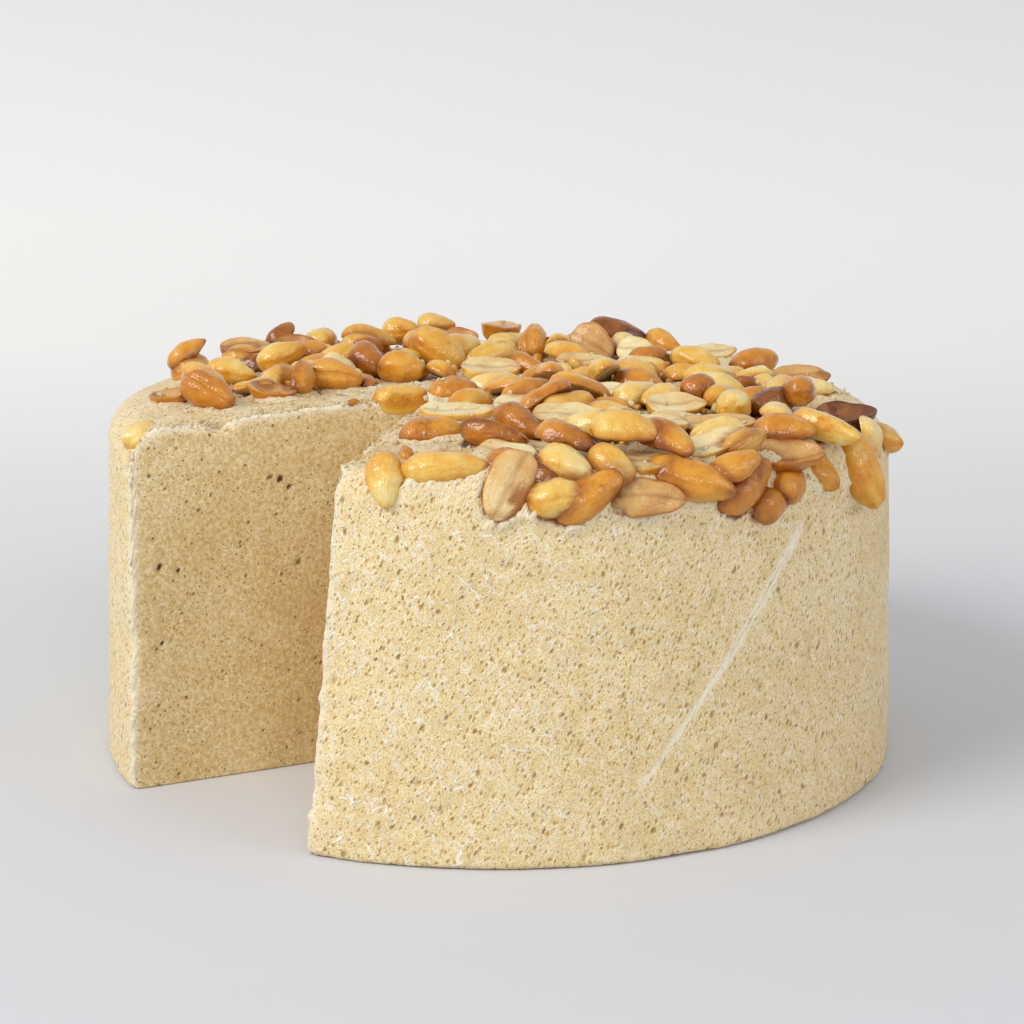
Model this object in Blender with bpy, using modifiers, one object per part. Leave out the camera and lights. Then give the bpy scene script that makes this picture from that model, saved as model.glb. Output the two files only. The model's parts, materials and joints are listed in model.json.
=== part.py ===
"""Peanut butter halva: a wheel of halva with one wedge cut out, under a heap of roasted peanuts.

Metres, +Z up. The wheel stands on z = 0 with its axis on the origin, and -Y is its front.
Angles round the wheel are in degrees from -Y, positive towards +X.
"""
import math

import bmesh
import bpy
import numpy as np
from mathutils import Matrix, Vector

MM = 0.001

# The wheel of halva, turned out of a round mould.
WHEEL_RADIUS = 105 * MM
WHEEL_HEIGHT = 94.3 * MM
WALL_TAPER = 0.03
FOOT_ROUNDING = 1.5 * MM
TOP_FALL = 2.6 * MM
SWELL_HEIGHT = 0.5 * MM
SWELL_LENGTH = 13 * MM
TURN_STEPS = 72
RIM_STEPS = 5

# The rounded rim: angle round the wheel, depth down the wall and width across the top, in mm.
# It is worn most beside the first cut and where peanuts are pressed over it.
RIM_DEPTH = 8 * MM
RIM_WIDTH = 8 * MM
RIM = (
    (-180, 7, 8),
    (-90, 7, 7),
    (-62, 12, 8),
    (-40, 8, 6),
    (-22, 8, 3.5),
    (0, 9, 8),
    (60, 10, 9),
    (90, 12, 18),
    (125, 10, 14),
    (150, 8, 9),
    (180, 7, 8),
)

# The missing wedge: two knife cuts that meet short of the wheel's axis.
# The second one leans, so it is given at the height of the top and at the base.
CUT_CORNER = (-16.3 * MM, -12.1 * MM)
CUT_A_AT_WALL = (-92.7 * MM, -49.2 * MM)
CUT_B_AT_TOP = (-36.2 * MM, -94.5 * MM)
CUT_B_AT_BASE = (-45.1 * MM, -94.5 * MM)
CUT_REACH = 2.5
CUT_MARGIN = 20 * MM

# The peanut bed: its outer edge as angle and radius in mm, and its distance from the two cuts.
BED_EDGE = (
    (-180, 97),
    (-130, 94),
    (-110, 91),
    (-85, 90),
    (-60, 84),
    (-15, 97),
    (20, 98),
    (100, 98),
    (180, 97),
)
BED_FROM_CUT_A = 9 * MM
BED_FROM_CUT_B = 4 * MM

# How far out a loose peanut may have its middle, as angle and radius in mm.
LOOSE_EDGE = (
    (-180, 76),
    (-140, 84),
    (-125, 70),
    (-60, 70),
    (-30, 96),
    (40, 96),
    (62, 80),
    (95, 74),
    (125, 66),
    (150, 72),
    (180, 76),
)
BED_POINTS = 72
BINDER_HEIGHT = 2.6 * MM
GAP = 0.3 * MM

# Peanut kernels.
GERM_END_TAPER = 0.16
WHOLE_DEPTH = 0.92
HALF_DEPTH = 1.0
FLAT_SIDE = 0.14
KERNEL_SIDES = 6
KERNEL_RINGS = 4
LOOSE_KERNEL_RINGS = 3
FACET_ALLOWANCE = 1.07

# The way peanuts settle on each other, over a height map of the top.
MAP_CELL = 1.5 * MM
MAP_HALF = 120 * MM
NO_GROUND = -1.0
SINK = 0.3 * MM
SHARE_RESTING = 0.1
SHARE_SEEN = 0.38
STEEPEST_LEAN = math.radians(32)
LOOSE_PEANUTS = 300
LOOSE_FROM_CUT_A = 24 * MM
SHARE_ON_LAID = 0.1
BARE_PATCH = (-16 * MM, -62 * MM)
BARE_RADIUS = 34 * MM
TRIES = 90
HIGHEST_SEAT = 4.0 * MM
SEED = 24

# The line of sight from the front: no loose peanut may stand in it before one that is laid by hand.
EYE = (0.0, -0.6015, 0.1950)
EYE_DOWN = math.radians(12.58)
VIEW_CELLS = 500
VIEW_SIZE = 300
SHARE_HIDING = 0.3

# Peanuts laid by hand, in the order in which they settle:
# kind, x, y, turn, pitch, roll in degrees, length, width, and the height of those pressed in the rim.
# A turn is from +X, a pitch lifts the germ end, and a roll of 0 lays a half with its dome up.
LAID_PEANUTS = (
    # front rim, from the second cut round to the right
    ("half", -16, -66, 8, 8, 20, 15, 9, None),
    ("half", -12, -97, 2, 5, 50, 20, 8, 92.5),
    ("half", -1, -76, -20, -8, 125, 17, 8, None),
    ("half", 2, -86, -25, -5, -165, 15, 9, 94.5),
    ("half", 3, -92, -5, 0, 20, 13, 8, 92.0),
    ("half", 2, -100, -140, -55, 125, 18, 11, 89.0),
    ("half", 10, -95.5, -60, -30, 0, 10, 8, 89.5),
    ("whole", 15, -95, -20, -18, 0, 14, 9, 92.5),
    ("whole", 13, -100, 5, 12, 0, 14, 9.5, 86.5),
    ("half", 20, -99, 6, 34, 60, 19, 9, 86.5),
    ("half", 25, -94, -40, -25, 30, 13, 8, 92.5),
    ("half", 33, -98, -4, -3, -110, 18, 9, 86.0),
    ("half", 33, -91, -10, 0, -165, 13, 9, 93.0),
    ("whole", 43.5, -91, -8, -15, 0, 21, 10.5, 88.5),
    ("half", 15, -86, -25, -12, 0, 15, 9, 96.5),
    ("half", 38, -85, -40, -14, 0, 16, 10, 96.0),
    ("half", 29, -86, -6, -4, 10, 17, 10, 98.5),
    ("half", 50.5, -80, 12, 14, -155, 18, 8.5, 95.5),
    ("half", 54, -88, 25, 18, 20, 14, 8, 90.5),
    ("half", 56, -85, 35, 34, 100, 18, 10, 86.0),
    ("half", 67, -77, 60, 40, 40, 11, 9, 84.5),
    ("half", 62, -81, 40, 20, 60, 11, 9, 80.5),
    ("half", 56.5, -79, 26, 22, 80, 13, 7, 94.5),
    ("half", 76, -67, -40, -30, 50, 12, 8, 85.0),
    ("half", 67, -76, -4, 0, -156, 18, 10.5, 92.3),
    # right rim
    ("whole", 87.5, -55, -30, -62, 0, 21, 12, 83.5),
    ("half", 91, -42, 60, -45, 60, 13, 8, 89.0),
    ("whole", 96, -31, -15, -8, 0, 12, 8.5, 86.5),
    ("whole", 78, -62, -26, -14, 0, 18, 8, 95.0),
    ("half", 67.5, -67, -6, 0, 15, 15, 9, 95.0),
    ("half", 86.5, -38, -6, 2, -164, 15, 10.5, 95.0),
    ("half", 69, -32, 30, 14, 60, 15, 8, None),
    ("whole", 58, -38, 85, 0, 0, 13, 9, None),
    ("half", 53, -58, 4, 2, -165, 18, 9, None),
    ("whole", 76, -30, 60, 0, 0, 12, 8, None),
    ("half", 83, -3, 10, 0, 0, 12, 9, None),
    ("half", 82, 15, -2, 4, -150, 16, 9, 95.3),
    ("whole", 71, 32, 20, 16, 0, 15, 10, 95.8),
    ("half", 63, 60, 12, 0, -160, 12, 8, None),
    ("half", 71, 5, -10, 0, 5, 9, 7, None),
    ("half", 62, -1, 25, 5, 140, 13, 7, None),
    # pile beside the first cut, over a few peanuts that carry it
    ("whole", -84, 22, 70, 0, 0, 14, 10, None),
    ("whole", -72, 48, 30, 0, 0, 15, 9, None),
    ("whole", -62, 62, 10, 0, 0, 15, 9, None),
    ("whole", -39, 64, 30, 0, 0, 15, 9, None),
    ("whole", -19, 82, 80, 0, 0, 14, 9, None),
    ("half", -51, 74, 0, 0, 0, 15, 9, None),
    ("whole", -72, 12, -15, -8, 0, 14, 9, None),
    ("whole", -77, -4, -38, -20, 0, 15, 9, None),
    ("half", -85, -15, -15, 5, -172, 11, 9, None),
    ("whole", -74, -22, -25, -26, 60, 16, 10, None),
    ("half", -85, 21, 32, 32, 10, 13, 7, 100.3),
    ("half", -72, 48, 2, 0, -160, 15, 8.5, 98.8),
    ("half", -63, 60, 38, 38, 30, 10, 6, 99.8),
    ("half", -67, 38, 0, 0, 0, 12, 9, None),
    ("half", -58, 48, -10, 0, -150, 14, 9, 98.9),
    ("whole", -52, 70, 65, 0, 0, 13, 9, 96.7),
    ("half", -58.5, -14, -10, -10, -174, 12.5, 9.5, None),
    ("half", -52, -7, 75, 35, 80, 13, 8, 98.0),
    ("whole", -60, 29, 25, 16, 0, 15, 9, 98.5),
    ("whole", -44, 2, -2, -8, 82, 16, 9.5, 97.2),
    ("whole", -47, 24, 0, -4, 0, 17, 8, None),
    ("whole", -36, 25, -50, -30, 0, 13, 9, None),
    ("half", -38, 66, 4, -8, 0, 16, 9, 97.4),
    ("whole", -26, 17, -4, -8, 0, 14, 9.5, None),
    ("whole", -17, 38, -12, -28, 0, 18, 11.5, None),
    ("whole", -19, 84, 10, 0, 0, 12, 9, 99.0),
    ("half", -11.5, 76, -5, 2, -150, 11, 8, None),
    ("whole", -29, 76, -10, 0, 0, 12, 9, 98.6),
    # middle and back
    ("half", 35, 76, 40, 0, 0, 15, 9, None),
    ("half", 1, 86, 80, 0, -178, 13, 11.5, 99.3),
    ("whole", 10, 66, 80, 38, 0, 14, 9, 96.6),
    ("half", -2, 14, 0, -2, -165, 16, 11, None),
    ("half", -12, -13, 6, 6, 25, 13, 9, None),
    ("half", 27, 56, -22, -26, -110, 14, 11, None),
    ("half", 35, 78, -5, -10, 30, 19, 10, None),
    ("half", 39, 50, -20, -5, -130, 11, 9, None),
    ("whole", 49, 74, -42, -24, 0, 14, 8, 95.0),
    ("whole", 55, 31, -30, -14, 0, 15, 9, None),
    ("half", 23, 34, 2, 0, -165, 14, 9, None),
    ("half", 42, 40, 28, 14, 60, 12, 7, None),
    ("half", 37, 0, -15, -5, 20, 15, 10, None),
    ("half", 27, -16, 0, 0, -168, 13, 9, None),
    ("half", 51, 19, 0, 0, 0, 13, 8, None),
    ("whole", 51, -21, 88, 0, 0, 13, 10, None),
    ("half", 44, -40, 4, 0, -160, 15, 10, None),
    ("half", 28, -33, -10, 0, 0, 11, 7, None),
    ("half", 29, -54, 12, 5, 30, 11, 8, None),
    ("half", 38, -62, 6, 2, -168, 15, 10, None),
    ("half", 17, -56, 0, 0, -160, 18, 9, None),
    ("half", 5, -34, 0, 0, -165, 13, 9, None),
    ("half", 5, -64, -45, -18, 60, 16, 8, None),
    ("half", -10, -45, 2, 0, -168, 19, 9, None),
)

# Peanuts sunk in the halva itself, which raise its surface: beside the second cut, in the rim beside
# the first, and in the upper edge of the first.
SUNK_PEANUTS = (
    ("whole", -25.5, -97, -88, -58, 0, 13.5, 8.5, 89.8),
    ("whole", -88.5, -40.5, 55, 25, 0, 10.5, 8, 89.3),
    ("whole", -24.6, -13.4, 26, 0, 0, 17, 9, 93.6),
)


def new_collection(name):
    collection = bpy.data.collections.new(name)
    bpy.context.scene.collection.children.link(collection)
    return collection


def add_object(name, mesh, collection):
    """Puts a mesh in a collection as a new object and returns the object."""
    thing = bpy.data.objects.new(name, mesh)
    collection.objects.link(thing)
    return thing


def add_material(thing, name, colour, roughness):
    material = bpy.data.materials.new(name)
    material.use_nodes = True
    shader = material.node_tree.nodes["Principled BSDF"]
    shader.inputs["Base Color"].default_value = (*colour, 1)
    shader.inputs["Roughness"].default_value = roughness
    shader.inputs["Metallic"].default_value = 0.0
    thing.data.materials.clear()
    thing.data.materials.append(material)


def evaluated_mesh(thing):
    """The object's mesh with its modifiers applied; the object itself is removed."""
    graph = bpy.context.evaluated_depsgraph_get()
    mesh = bpy.data.meshes.new_from_object(thing.evaluated_get(graph))
    bpy.data.objects.remove(thing, do_unlink=True)
    return mesh


def boolean(thing, operation, other, solver="EXACT"):
    """Adds a Boolean modifier that takes an object or a whole collection."""
    modifier = thing.modifiers.new(operation.lower(), "BOOLEAN")
    modifier.operation = operation
    modifier.solver = solver
    if isinstance(other, bpy.types.Collection):
        modifier.operand_type = "COLLECTION"
        modifier.collection = other
    else:
        modifier.object = other
    return modifier


def as_cutter(thing):
    thing.hide_render = True
    thing.display_type = "WIRE"
    return thing


# The wheel's surface.


def rim_at(angle):
    """Depth and width of the rounded rim at an angle round the wheel."""
    angles, depths, widths = np.array(RIM, float).T
    return np.interp(angle, angles, depths) * MM, np.interp(angle, angles, widths) * MM


def angle_of(x, y):
    return np.degrees(np.arctan2(x, -y))


def wall_radius(z):
    return WHEEL_RADIUS - WALL_TAPER * z


def top_height(x, y):
    """Height of the flat of the top, which falls towards the rim and swells where it was pressed."""
    share = np.hypot(x, y) / WHEEL_RADIUS
    swell = np.sin(x / SWELL_LENGTH + 1.0) * np.cos(y / SWELL_LENGTH - 0.5)
    return WHEEL_HEIGHT - TOP_FALL * share**3 + SWELL_HEIGHT * swell


def surface_height(x, y):
    """Height of the halva's upper surface, rim included, and far below where there is no halva."""
    radius = np.hypot(x, y)
    depth, width = rim_at(angle_of(x, y))
    edge = wall_radius(WHEEL_HEIGHT)
    across = np.clip((radius - edge + width) / width, 0, 1)
    height = top_height(x, y) - depth * (1 - np.sqrt(1 - across**2))
    return np.where((radius < edge) & (from_cuts(x, y) > 0), height, NO_GROUND)


# The two cuts.


def cut_side(x, y, at_wall, side):
    """Distance from a cut's line on the top, positive in the halva that the cut bounds."""
    along = Vector(at_wall) - Vector(CUT_CORNER)
    along.normalize()
    return side * ((x - CUT_CORNER[0]) * along.y - (y - CUT_CORNER[1]) * along.x)


def from_cuts(x, y, margin_a=0.0, margin_b=0.0):
    """Positive where a point of the top is in the halva, further than the margins from the cuts."""
    from_a = cut_side(x, y, CUT_A_AT_WALL, 1) - margin_a
    from_b = cut_side(x, y, CUT_B_AT_TOP, -1) - margin_b
    return np.maximum(from_a, from_b)


def meeting_point(point, along, other, other_along):
    """Where two lines in the plan meet."""
    across = along.x * other_along.y - along.y * other_along.x
    share = ((other.x - point.x) * other_along.y - (other.y - point.y) * other_along.x) / across
    return point + share * along


def wedge_cutter(collection):
    """A block with the wedge's two faces, carried past the wheel's wall, base and top."""
    corner = Vector(CUT_CORNER)
    along_a = Vector(CUT_A_AT_WALL) - corner
    along_b = Vector(CUT_B_AT_TOP) - corner
    base_point = Vector(CUT_B_AT_BASE)
    top_point = Vector(CUT_B_AT_TOP)
    lean = (top_point - base_point) / WHEEL_HEIGHT
    mesh = bpy.data.meshes.new("wedge_cutter")
    shape = bmesh.new()
    bmesh.ops.create_cube(shape, size=2)
    for vertex in shape.verts:
        z = WHEEL_HEIGHT + CUT_MARGIN if vertex.co.z > 0 else -CUT_MARGIN
        on_b = base_point + lean * z
        apex = meeting_point(corner, along_a, on_b, along_b)
        place = apex.copy()
        if vertex.co.x < 0:
            place += CUT_REACH * along_a
        if vertex.co.y < 0:
            place += CUT_REACH * along_b
        vertex.co = (place.x, place.y, z)
    bmesh.ops.recalc_face_normals(shape, faces=shape.faces)
    shape.to_mesh(mesh)
    shape.free()
    return as_cutter(add_object("wedge_cutter", mesh, collection))


# The turned wheel.


def wheel_profile(base):
    """Half section of the wheel from the top of its axis, down the outside, to the base."""
    edge = wall_radius(WHEEL_HEIGHT)
    flat = edge - RIM_WIDTH
    points = [(0, WHEEL_HEIGHT), (flat * 0.35, WHEEL_HEIGHT), (flat * 0.7, WHEEL_HEIGHT)]
    for step in range(RIM_STEPS + 1):
        turn = math.radians(90 * step / RIM_STEPS)
        points.append((flat + RIM_WIDTH * math.sin(turn), WHEEL_HEIGHT - RIM_DEPTH * (1 - math.cos(turn))))
    points.append((wall_radius(WHEEL_HEIGHT / 2), WHEEL_HEIGHT / 2))
    points.append((wall_radius(0), FOOT_ROUNDING))
    points.append((wall_radius(0) - FOOT_ROUNDING, base))
    points.append((0, base))
    return points


def turned_wheel(name, lift, base, collection):
    """The wheel as a turned shape, its rim and top then worked by hand; lift grows it all round."""
    points = wheel_profile(base)
    profile = bpy.data.meshes.new(name)
    vertices = [(radius, 0, z) for radius, z in points]
    edges = [(index, index + 1) for index in range(len(points) - 1)]
    profile.from_pydata(vertices, edges, [])
    thing = add_object(name, profile, collection)
    screw = thing.modifiers.new("turn", "SCREW")
    screw.axis = "Z"
    screw.steps = TURN_STEPS
    screw.render_steps = TURN_STEPS
    screw.use_merge_vertices = True
    screw.merge_threshold = 0.1 * MM
    mesh = evaluated_mesh(thing)
    edge = wall_radius(WHEEL_HEIGHT)
    for vertex in mesh.vertices:
        x, y, z = vertex.co
        radius = math.hypot(x, y)
        if z > WHEEL_HEIGHT - RIM_DEPTH - 0.01 * MM:
            depth, width = rim_at(angle_of(x, y))
            across = max(0.0, (radius - edge + RIM_WIDTH) / RIM_WIDTH)
            inner = radius * (edge - width) / (edge - RIM_WIDTH)
            new_radius = edge - width + across * width if across > 0 else inner
            scale = new_radius / radius if radius > 0 else 0.0
            x, y = x * scale, y * scale
            z = top_height(x, y) - depth * (WHEEL_HEIGHT - z) / RIM_DEPTH + lift
            radius = new_radius
        if radius > 0:
            grow = lift * min(1.0, radius / (edge - RIM_WIDTH))
            x, y = x * (1 + grow / radius), y * (1 + grow / radius)
        vertex.co = (x, y, z)
    return add_object(name, mesh, collection)


# Peanuts.


def peanut_form(points, kind, length, width):
    """Shapes points of a unit ball, poles on X, into a whole kernel or one of its halves."""
    x, y, z = np.array(points, float).T
    slim = 1 - GERM_END_TAPER * x
    depth = WHOLE_DEPTH
    if kind == "half":
        depth = HALF_DEPTH
        z = np.where(z < 0, z * FLAT_SIDE, z)
    return np.stack([x * length / 2, y * slim * width / 2, z * slim * depth * width / 2], -1) * MM


def peanut_turn(turn, pitch, roll):
    """Rotation of a peanut: rolled on its length, then pitched, then turned on the wheel."""
    rolled = Matrix.Rotation(math.radians(roll), 3, "X")
    pitched = Matrix.Rotation(math.radians(-pitch), 3, "Y")
    return np.array(Matrix.Rotation(math.radians(turn), 3, "Z") @ pitched @ rolled)


def ball_points(rings, sides):
    """Points of a unit ball in rings round X."""
    lengthwise, around = np.meshgrid(
        np.linspace(0, math.pi, rings), np.linspace(0, 2 * math.pi, sides, endpoint=False)
    )
    wide = np.sin(lengthwise)
    points = np.stack([np.cos(lengthwise), wide * np.cos(around), wide * np.sin(around)], -1)
    return points.reshape(-1, 3)


def ground_cells(points):
    cells = np.rint((points[:, :2] + MAP_HALF) / MAP_CELL).astype(int)
    return cells[:, 0], cells[:, 1]


def first_ground():
    """Height map of the bare top."""
    steps = int(round(2 * MAP_HALF / MAP_CELL)) + 1
    line = np.arange(steps) * MAP_CELL - MAP_HALF
    x, y = np.meshgrid(line, line, indexing="ij")
    return surface_height(x, y)


def bed_edge(angle, edge=BED_EDGE):
    angles, radii = np.array(edge, float).T
    return np.interp(angle, angles, radii) * MM


def in_bed(x, y):
    """Whether a loose peanut may have its middle at a point of the top."""
    inside = math.hypot(x, y) < bed_edge(angle_of(x, y), LOOSE_EDGE)
    bare = math.dist((x, y), BARE_PATCH) < BARE_RADIUS
    return inside and not bare and from_cuts(x, y, LOOSE_FROM_CUT_A, BED_FROM_CUT_B) > 0


def view_cells(points):
    """Cells of a map across the line of sight for each point, and how far away it is."""
    right, away, up = (points - EYE).T
    depth = away * math.cos(EYE_DOWN) - up * math.sin(EYE_DOWN)
    rise = away * math.sin(EYE_DOWN) + up * math.cos(EYE_DOWN)
    column = np.rint(VIEW_CELLS * right / depth + VIEW_SIZE / 2).astype(int)
    row = np.rint(VIEW_CELLS * rise / depth + VIEW_SIZE / 2).astype(int)
    return (column, row), depth


def settled(points, ground):
    """How far a peanut's points rise so that a share of them is under the ground, sunk in a little."""
    return np.quantile(ground[ground_cells(points)] - points[:, 2], 1 - SHARE_RESTING) - SINK


def share_seen(points, ground):
    """Share of a peanut's surface that nothing laid later covers from above."""
    return np.mean(points[:, 2] > ground[ground_cells(points)] - MAP_CELL)


def lean_on(ground, x, y, turn, length, width):
    """Pitch and roll that lay a peanut along the slope under it, in degrees."""
    spans = []
    for along, reach in ((turn, 0.35 * length * MM), (turn + 90, 0.35 * width * MM)):
        step = np.array([math.cos(math.radians(along)), math.sin(math.radians(along))]) * reach
        ends = np.array([[x, y] + step, [x, y] - step])
        high, low = ground[ground_cells(ends)]
        lean = math.atan2(high - low, 2 * reach)
        spans.append(math.degrees(max(-STEEPEST_LEAN, min(STEEPEST_LEAN, lean))))
    return spans


def lay_peanuts():
    """Lays the peanuts on the wheel: kind, turning matrix, length, width and centre of each."""
    ball = ball_points(20, 20)
    ground = first_ground()
    empty = ground.copy()
    laid = []
    surfaces = []

    def place(kind, turning, length, width, centre):
        points = peanut_form(ball, kind, length, width) @ turning.T + centre
        laid.append((kind, turning, length, width, centre))
        surfaces.append(points)
        np.maximum.at(ground, ground_cells(points), points[:, 2])

    for kind, x, y, turn, pitch, roll, length, width, height in LAID_PEANUTS:
        turning = peanut_turn(turn, pitch, roll)
        points = peanut_form(ball, kind, length, width) @ turning.T + (x * MM, y * MM, 0)
        z = settled(points, ground) if height is None else height * MM
        place(kind, turning, length, width, np.array([x * MM, y * MM, z]))

    taken = ground > empty + MAP_CELL
    seen = np.full((VIEW_SIZE, VIEW_SIZE), -np.inf)
    for points in surfaces:
        cells, depth = view_cells(points)
        np.maximum.at(seen, cells, -depth)
    draw = np.random.default_rng(SEED)
    for _ in range(LOOSE_PEANUTS):
        kind = "whole" if draw.random() < 0.3 else "half"
        length = draw.uniform(12, 18)
        width = length * draw.uniform(0.52, 0.64)
        best = None
        for _ in range(TRIES):
            x, y = draw.uniform(-WHEEL_RADIUS, WHEEL_RADIUS, 2)
            turn = draw.uniform(-180, 180)
            face = draw.choice([0, 0, 180])
            if not in_bed(x, y):
                continue
            pitch, lean = lean_on(ground, x, y, turn, length, width)
            turning = peanut_turn(turn, pitch, lean + face)
            points = peanut_form(ball, kind, length, width) @ turning.T + (x, y, 0)
            clear_of_cuts = from_cuts(points[:, 0], points[:, 1]).min() > BED_FROM_CUT_B / 2
            inside_rim = np.hypot(points[:, 0], points[:, 1]).max() < WHEEL_RADIUS
            on_laid = np.mean(taken[ground_cells(points)]) > SHARE_ON_LAID
            if on_laid or not (clear_of_cuts and inside_rim):
                continue
            z = settled(points, ground)
            seat = z - top_height(x, y)
            cells, depth = view_cells(points + (0, 0, z))
            hiding = np.mean((seen[cells] > -np.inf) & (depth < -seen[cells]))
            if hiding < SHARE_HIDING and (best is None or seat < best[0]):
                best = (seat, turning, np.array([x, y, z]))
        if best is not None and best[0] < HIGHEST_SEAT:
            place(kind, best[1], length, width, best[2])
    by_hand = len(LAID_PEANUTS)
    kept = laid[:by_hand]
    for peanut, points in zip(laid[by_hand:], surfaces[by_hand:]):
        if share_seen(points, ground) > SHARE_SEEN:
            kept.append(peanut)
    return kept


def peanut_mesh(name, peanut, rings=KERNEL_RINGS, grow=0.0):
    """A kernel with few sides, a little full so that its facets keep the true size."""
    kind, turning, length, width, centre = peanut
    shape = bmesh.new()
    bmesh.ops.create_uvsphere(shape, u_segments=KERNEL_SIDES, v_segments=rings, radius=1)
    bmesh.ops.rotate(shape, verts=shape.verts, matrix=Matrix.Rotation(math.pi / 2, 3, "Y"))
    points = np.array([vertex.co[:] for vertex in shape.verts])
    full = FACET_ALLOWANCE + grow / (width * MM / 2)
    points = peanut_form(points, kind, length * (1 + (full - 1) / 2), width * full) @ turning.T + centre
    for vertex, point in zip(shape.verts, points):
        vertex.co = point
    mesh = bpy.data.meshes.new(name)
    shape.to_mesh(mesh)
    shape.free()
    return mesh


def bed_prism(collection):
    """The bed's outline as an upright prism, from a flat curve."""
    outline = []
    for step in range(BED_POINTS):
        angle = -180 + 360 * (step + 0.5) / BED_POINTS
        radius = bed_edge(angle)
        x, y = radius * math.sin(math.radians(angle)), -radius * math.cos(math.radians(angle))
        if from_cuts(x, y, BED_FROM_CUT_A, BED_FROM_CUT_B) > 0:
            outline.append((x, y))
        elif not outline or outline[-1] != bed_corner():
            outline.append(bed_corner())
    curve = bpy.data.curves.new("bed_outline", "CURVE")
    curve.dimensions = "2D"
    curve.fill_mode = "BOTH"
    curve.extrude = 2 * CUT_MARGIN
    spline = curve.splines.new("POLY")
    spline.points.add(len(outline) - 1)
    for point, (x, y) in zip(spline.points, outline):
        point.co = (x, y, 0, 1)
    spline.use_cyclic_u = True
    thing = add_object("bed_outline", curve, collection)
    thing.location.z = WHEEL_HEIGHT
    bpy.context.view_layer.update()
    place = thing.matrix_world.copy()
    mesh = evaluated_mesh(thing)
    mesh.transform(place)
    shape = bmesh.new()
    shape.from_mesh(mesh)
    bmesh.ops.remove_doubles(shape, verts=shape.verts, dist=0.01 * MM)
    bmesh.ops.recalc_face_normals(shape, faces=shape.faces)
    shape.to_mesh(mesh)
    shape.free()
    return as_cutter(add_object("bed_prism", mesh, collection))


def bed_corner():
    """The corner of the bed's outline, beside the corner where the cuts meet."""
    corner = Vector(CUT_CORNER)
    along_a = (Vector(CUT_A_AT_WALL) - corner).normalized()
    along_b = (Vector(CUT_B_AT_TOP) - corner).normalized()
    on_a = corner + Vector((along_a.y, -along_a.x)) * BED_FROM_CUT_A
    on_b = corner - Vector((along_b.y, -along_b.x)) * BED_FROM_CUT_B
    return meeting_point(on_a, along_a, on_b, along_b)[:]


def largest_piece(mesh):
    """Drops every loose scrap that a Boolean left beside the main body."""
    shape = bmesh.new()
    shape.from_mesh(mesh)
    seen = set()
    pieces = []
    for start in shape.verts:
        if start in seen:
            continue
        piece = [start]
        seen.add(start)
        for vertex in piece:
            for edge in vertex.link_edges:
                other = edge.other_vert(vertex)
                if other not in seen:
                    seen.add(other)
                    piece.append(other)
        pieces.append(piece)
    pieces.sort(key=len)
    for piece in pieces[:-1]:
        bmesh.ops.delete(shape, geom=piece, context="VERTS")
    shape.to_mesh(mesh)
    shape.free()


def sunk_peanut(number, grow):
    """A peanut that is sunk in the halva, as a lump."""
    kind, x, y, turn, pitch, roll, length, width, height = SUNK_PEANUTS[number]
    centre = np.array([x, y, height]) * MM
    peanut = (kind, peanut_turn(turn, pitch, roll), length, width, centre)
    return peanut_mesh("sunk_peanut", peanut, grow=grow)


def make_halva(parts, cutters):
    halva = turned_wheel("halva_wheel", 0.0, 0.0, parts)
    for number in range(len(SUNK_PEANUTS)):
        lump = as_cutter(add_object(f"lump_{number}", sunk_peanut(number, 0.0), cutters))
        boolean(halva, "UNION", lump)
    boolean(halva, "DIFFERENCE", wedge_cutter(cutters))
    add_material(halva, "halva", (0.75, 0.58, 0.36), 0.7)
    return halva


def make_topping(parts, cutters):
    binder = turned_wheel("binder", BINDER_HEIGHT, WHEEL_HEIGHT / 2, parts)
    boolean(binder, "INTERSECT", bed_prism(cutters))
    core = evaluated_mesh(binder)
    heap = new_collection("heap")
    for number, peanut in enumerate(lay_peanuts()):
        rings = KERNEL_RINGS if number < len(LAID_PEANUTS) else LOOSE_KERNEL_RINGS
        add_object(f"peanut_{number}", peanut_mesh(f"peanut_{number}", peanut, rings), heap)
    topping = add_object("peanut_topping", core, parts)
    boolean(topping, "UNION", heap, "MANIFOLD")
    under = as_cutter(turned_wheel("wheel_cutter", GAP, -CUT_MARGIN, cutters))
    boolean(topping, "DIFFERENCE", under, "MANIFOLD")
    for number in range(len(SUNK_PEANUTS)):
        lump = as_cutter(add_object(f"lump_room_{number}", sunk_peanut(number, GAP), cutters))
        boolean(topping, "DIFFERENCE", lump, "MANIFOLD")
    mesh = evaluated_mesh(topping)
    largest_piece(mesh)
    for peanut in list(heap.objects):
        bpy.data.objects.remove(peanut, do_unlink=True)
    bpy.data.collections.remove(heap)
    topping = add_object("peanut_topping", mesh, parts)
    add_material(topping, "roasted_peanut", (0.68, 0.38, 0.12), 0.4)
    return topping


def main():
    for thing in list(bpy.data.objects):
        bpy.data.objects.remove(thing, do_unlink=True)
    parts = new_collection("peanut_butter_halva")
    cutters = new_collection("cutters")
    make_halva(parts, cutters)
    make_topping(parts, cutters)


main()
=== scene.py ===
# %% [markdown]
# # Peanut butter halva
# The object is a round wheel of halva with one wedge cut out of it, under a heap of roasted peanuts.
# Everything is in metres, +Z up: the wheel stands on z = 0 with its axis on the origin, and -Y is its front.
# A imported model gives the true size of the wheel and of the heap; this lesson gives both their looks. It
# starts by loading that model.

# %% Load the imported model
import json
import math

import bpy
import numpy as np
from mathutils import Matrix, Vector, kdtree, noise
from mathutils.bvhtree import BVHTree

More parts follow.
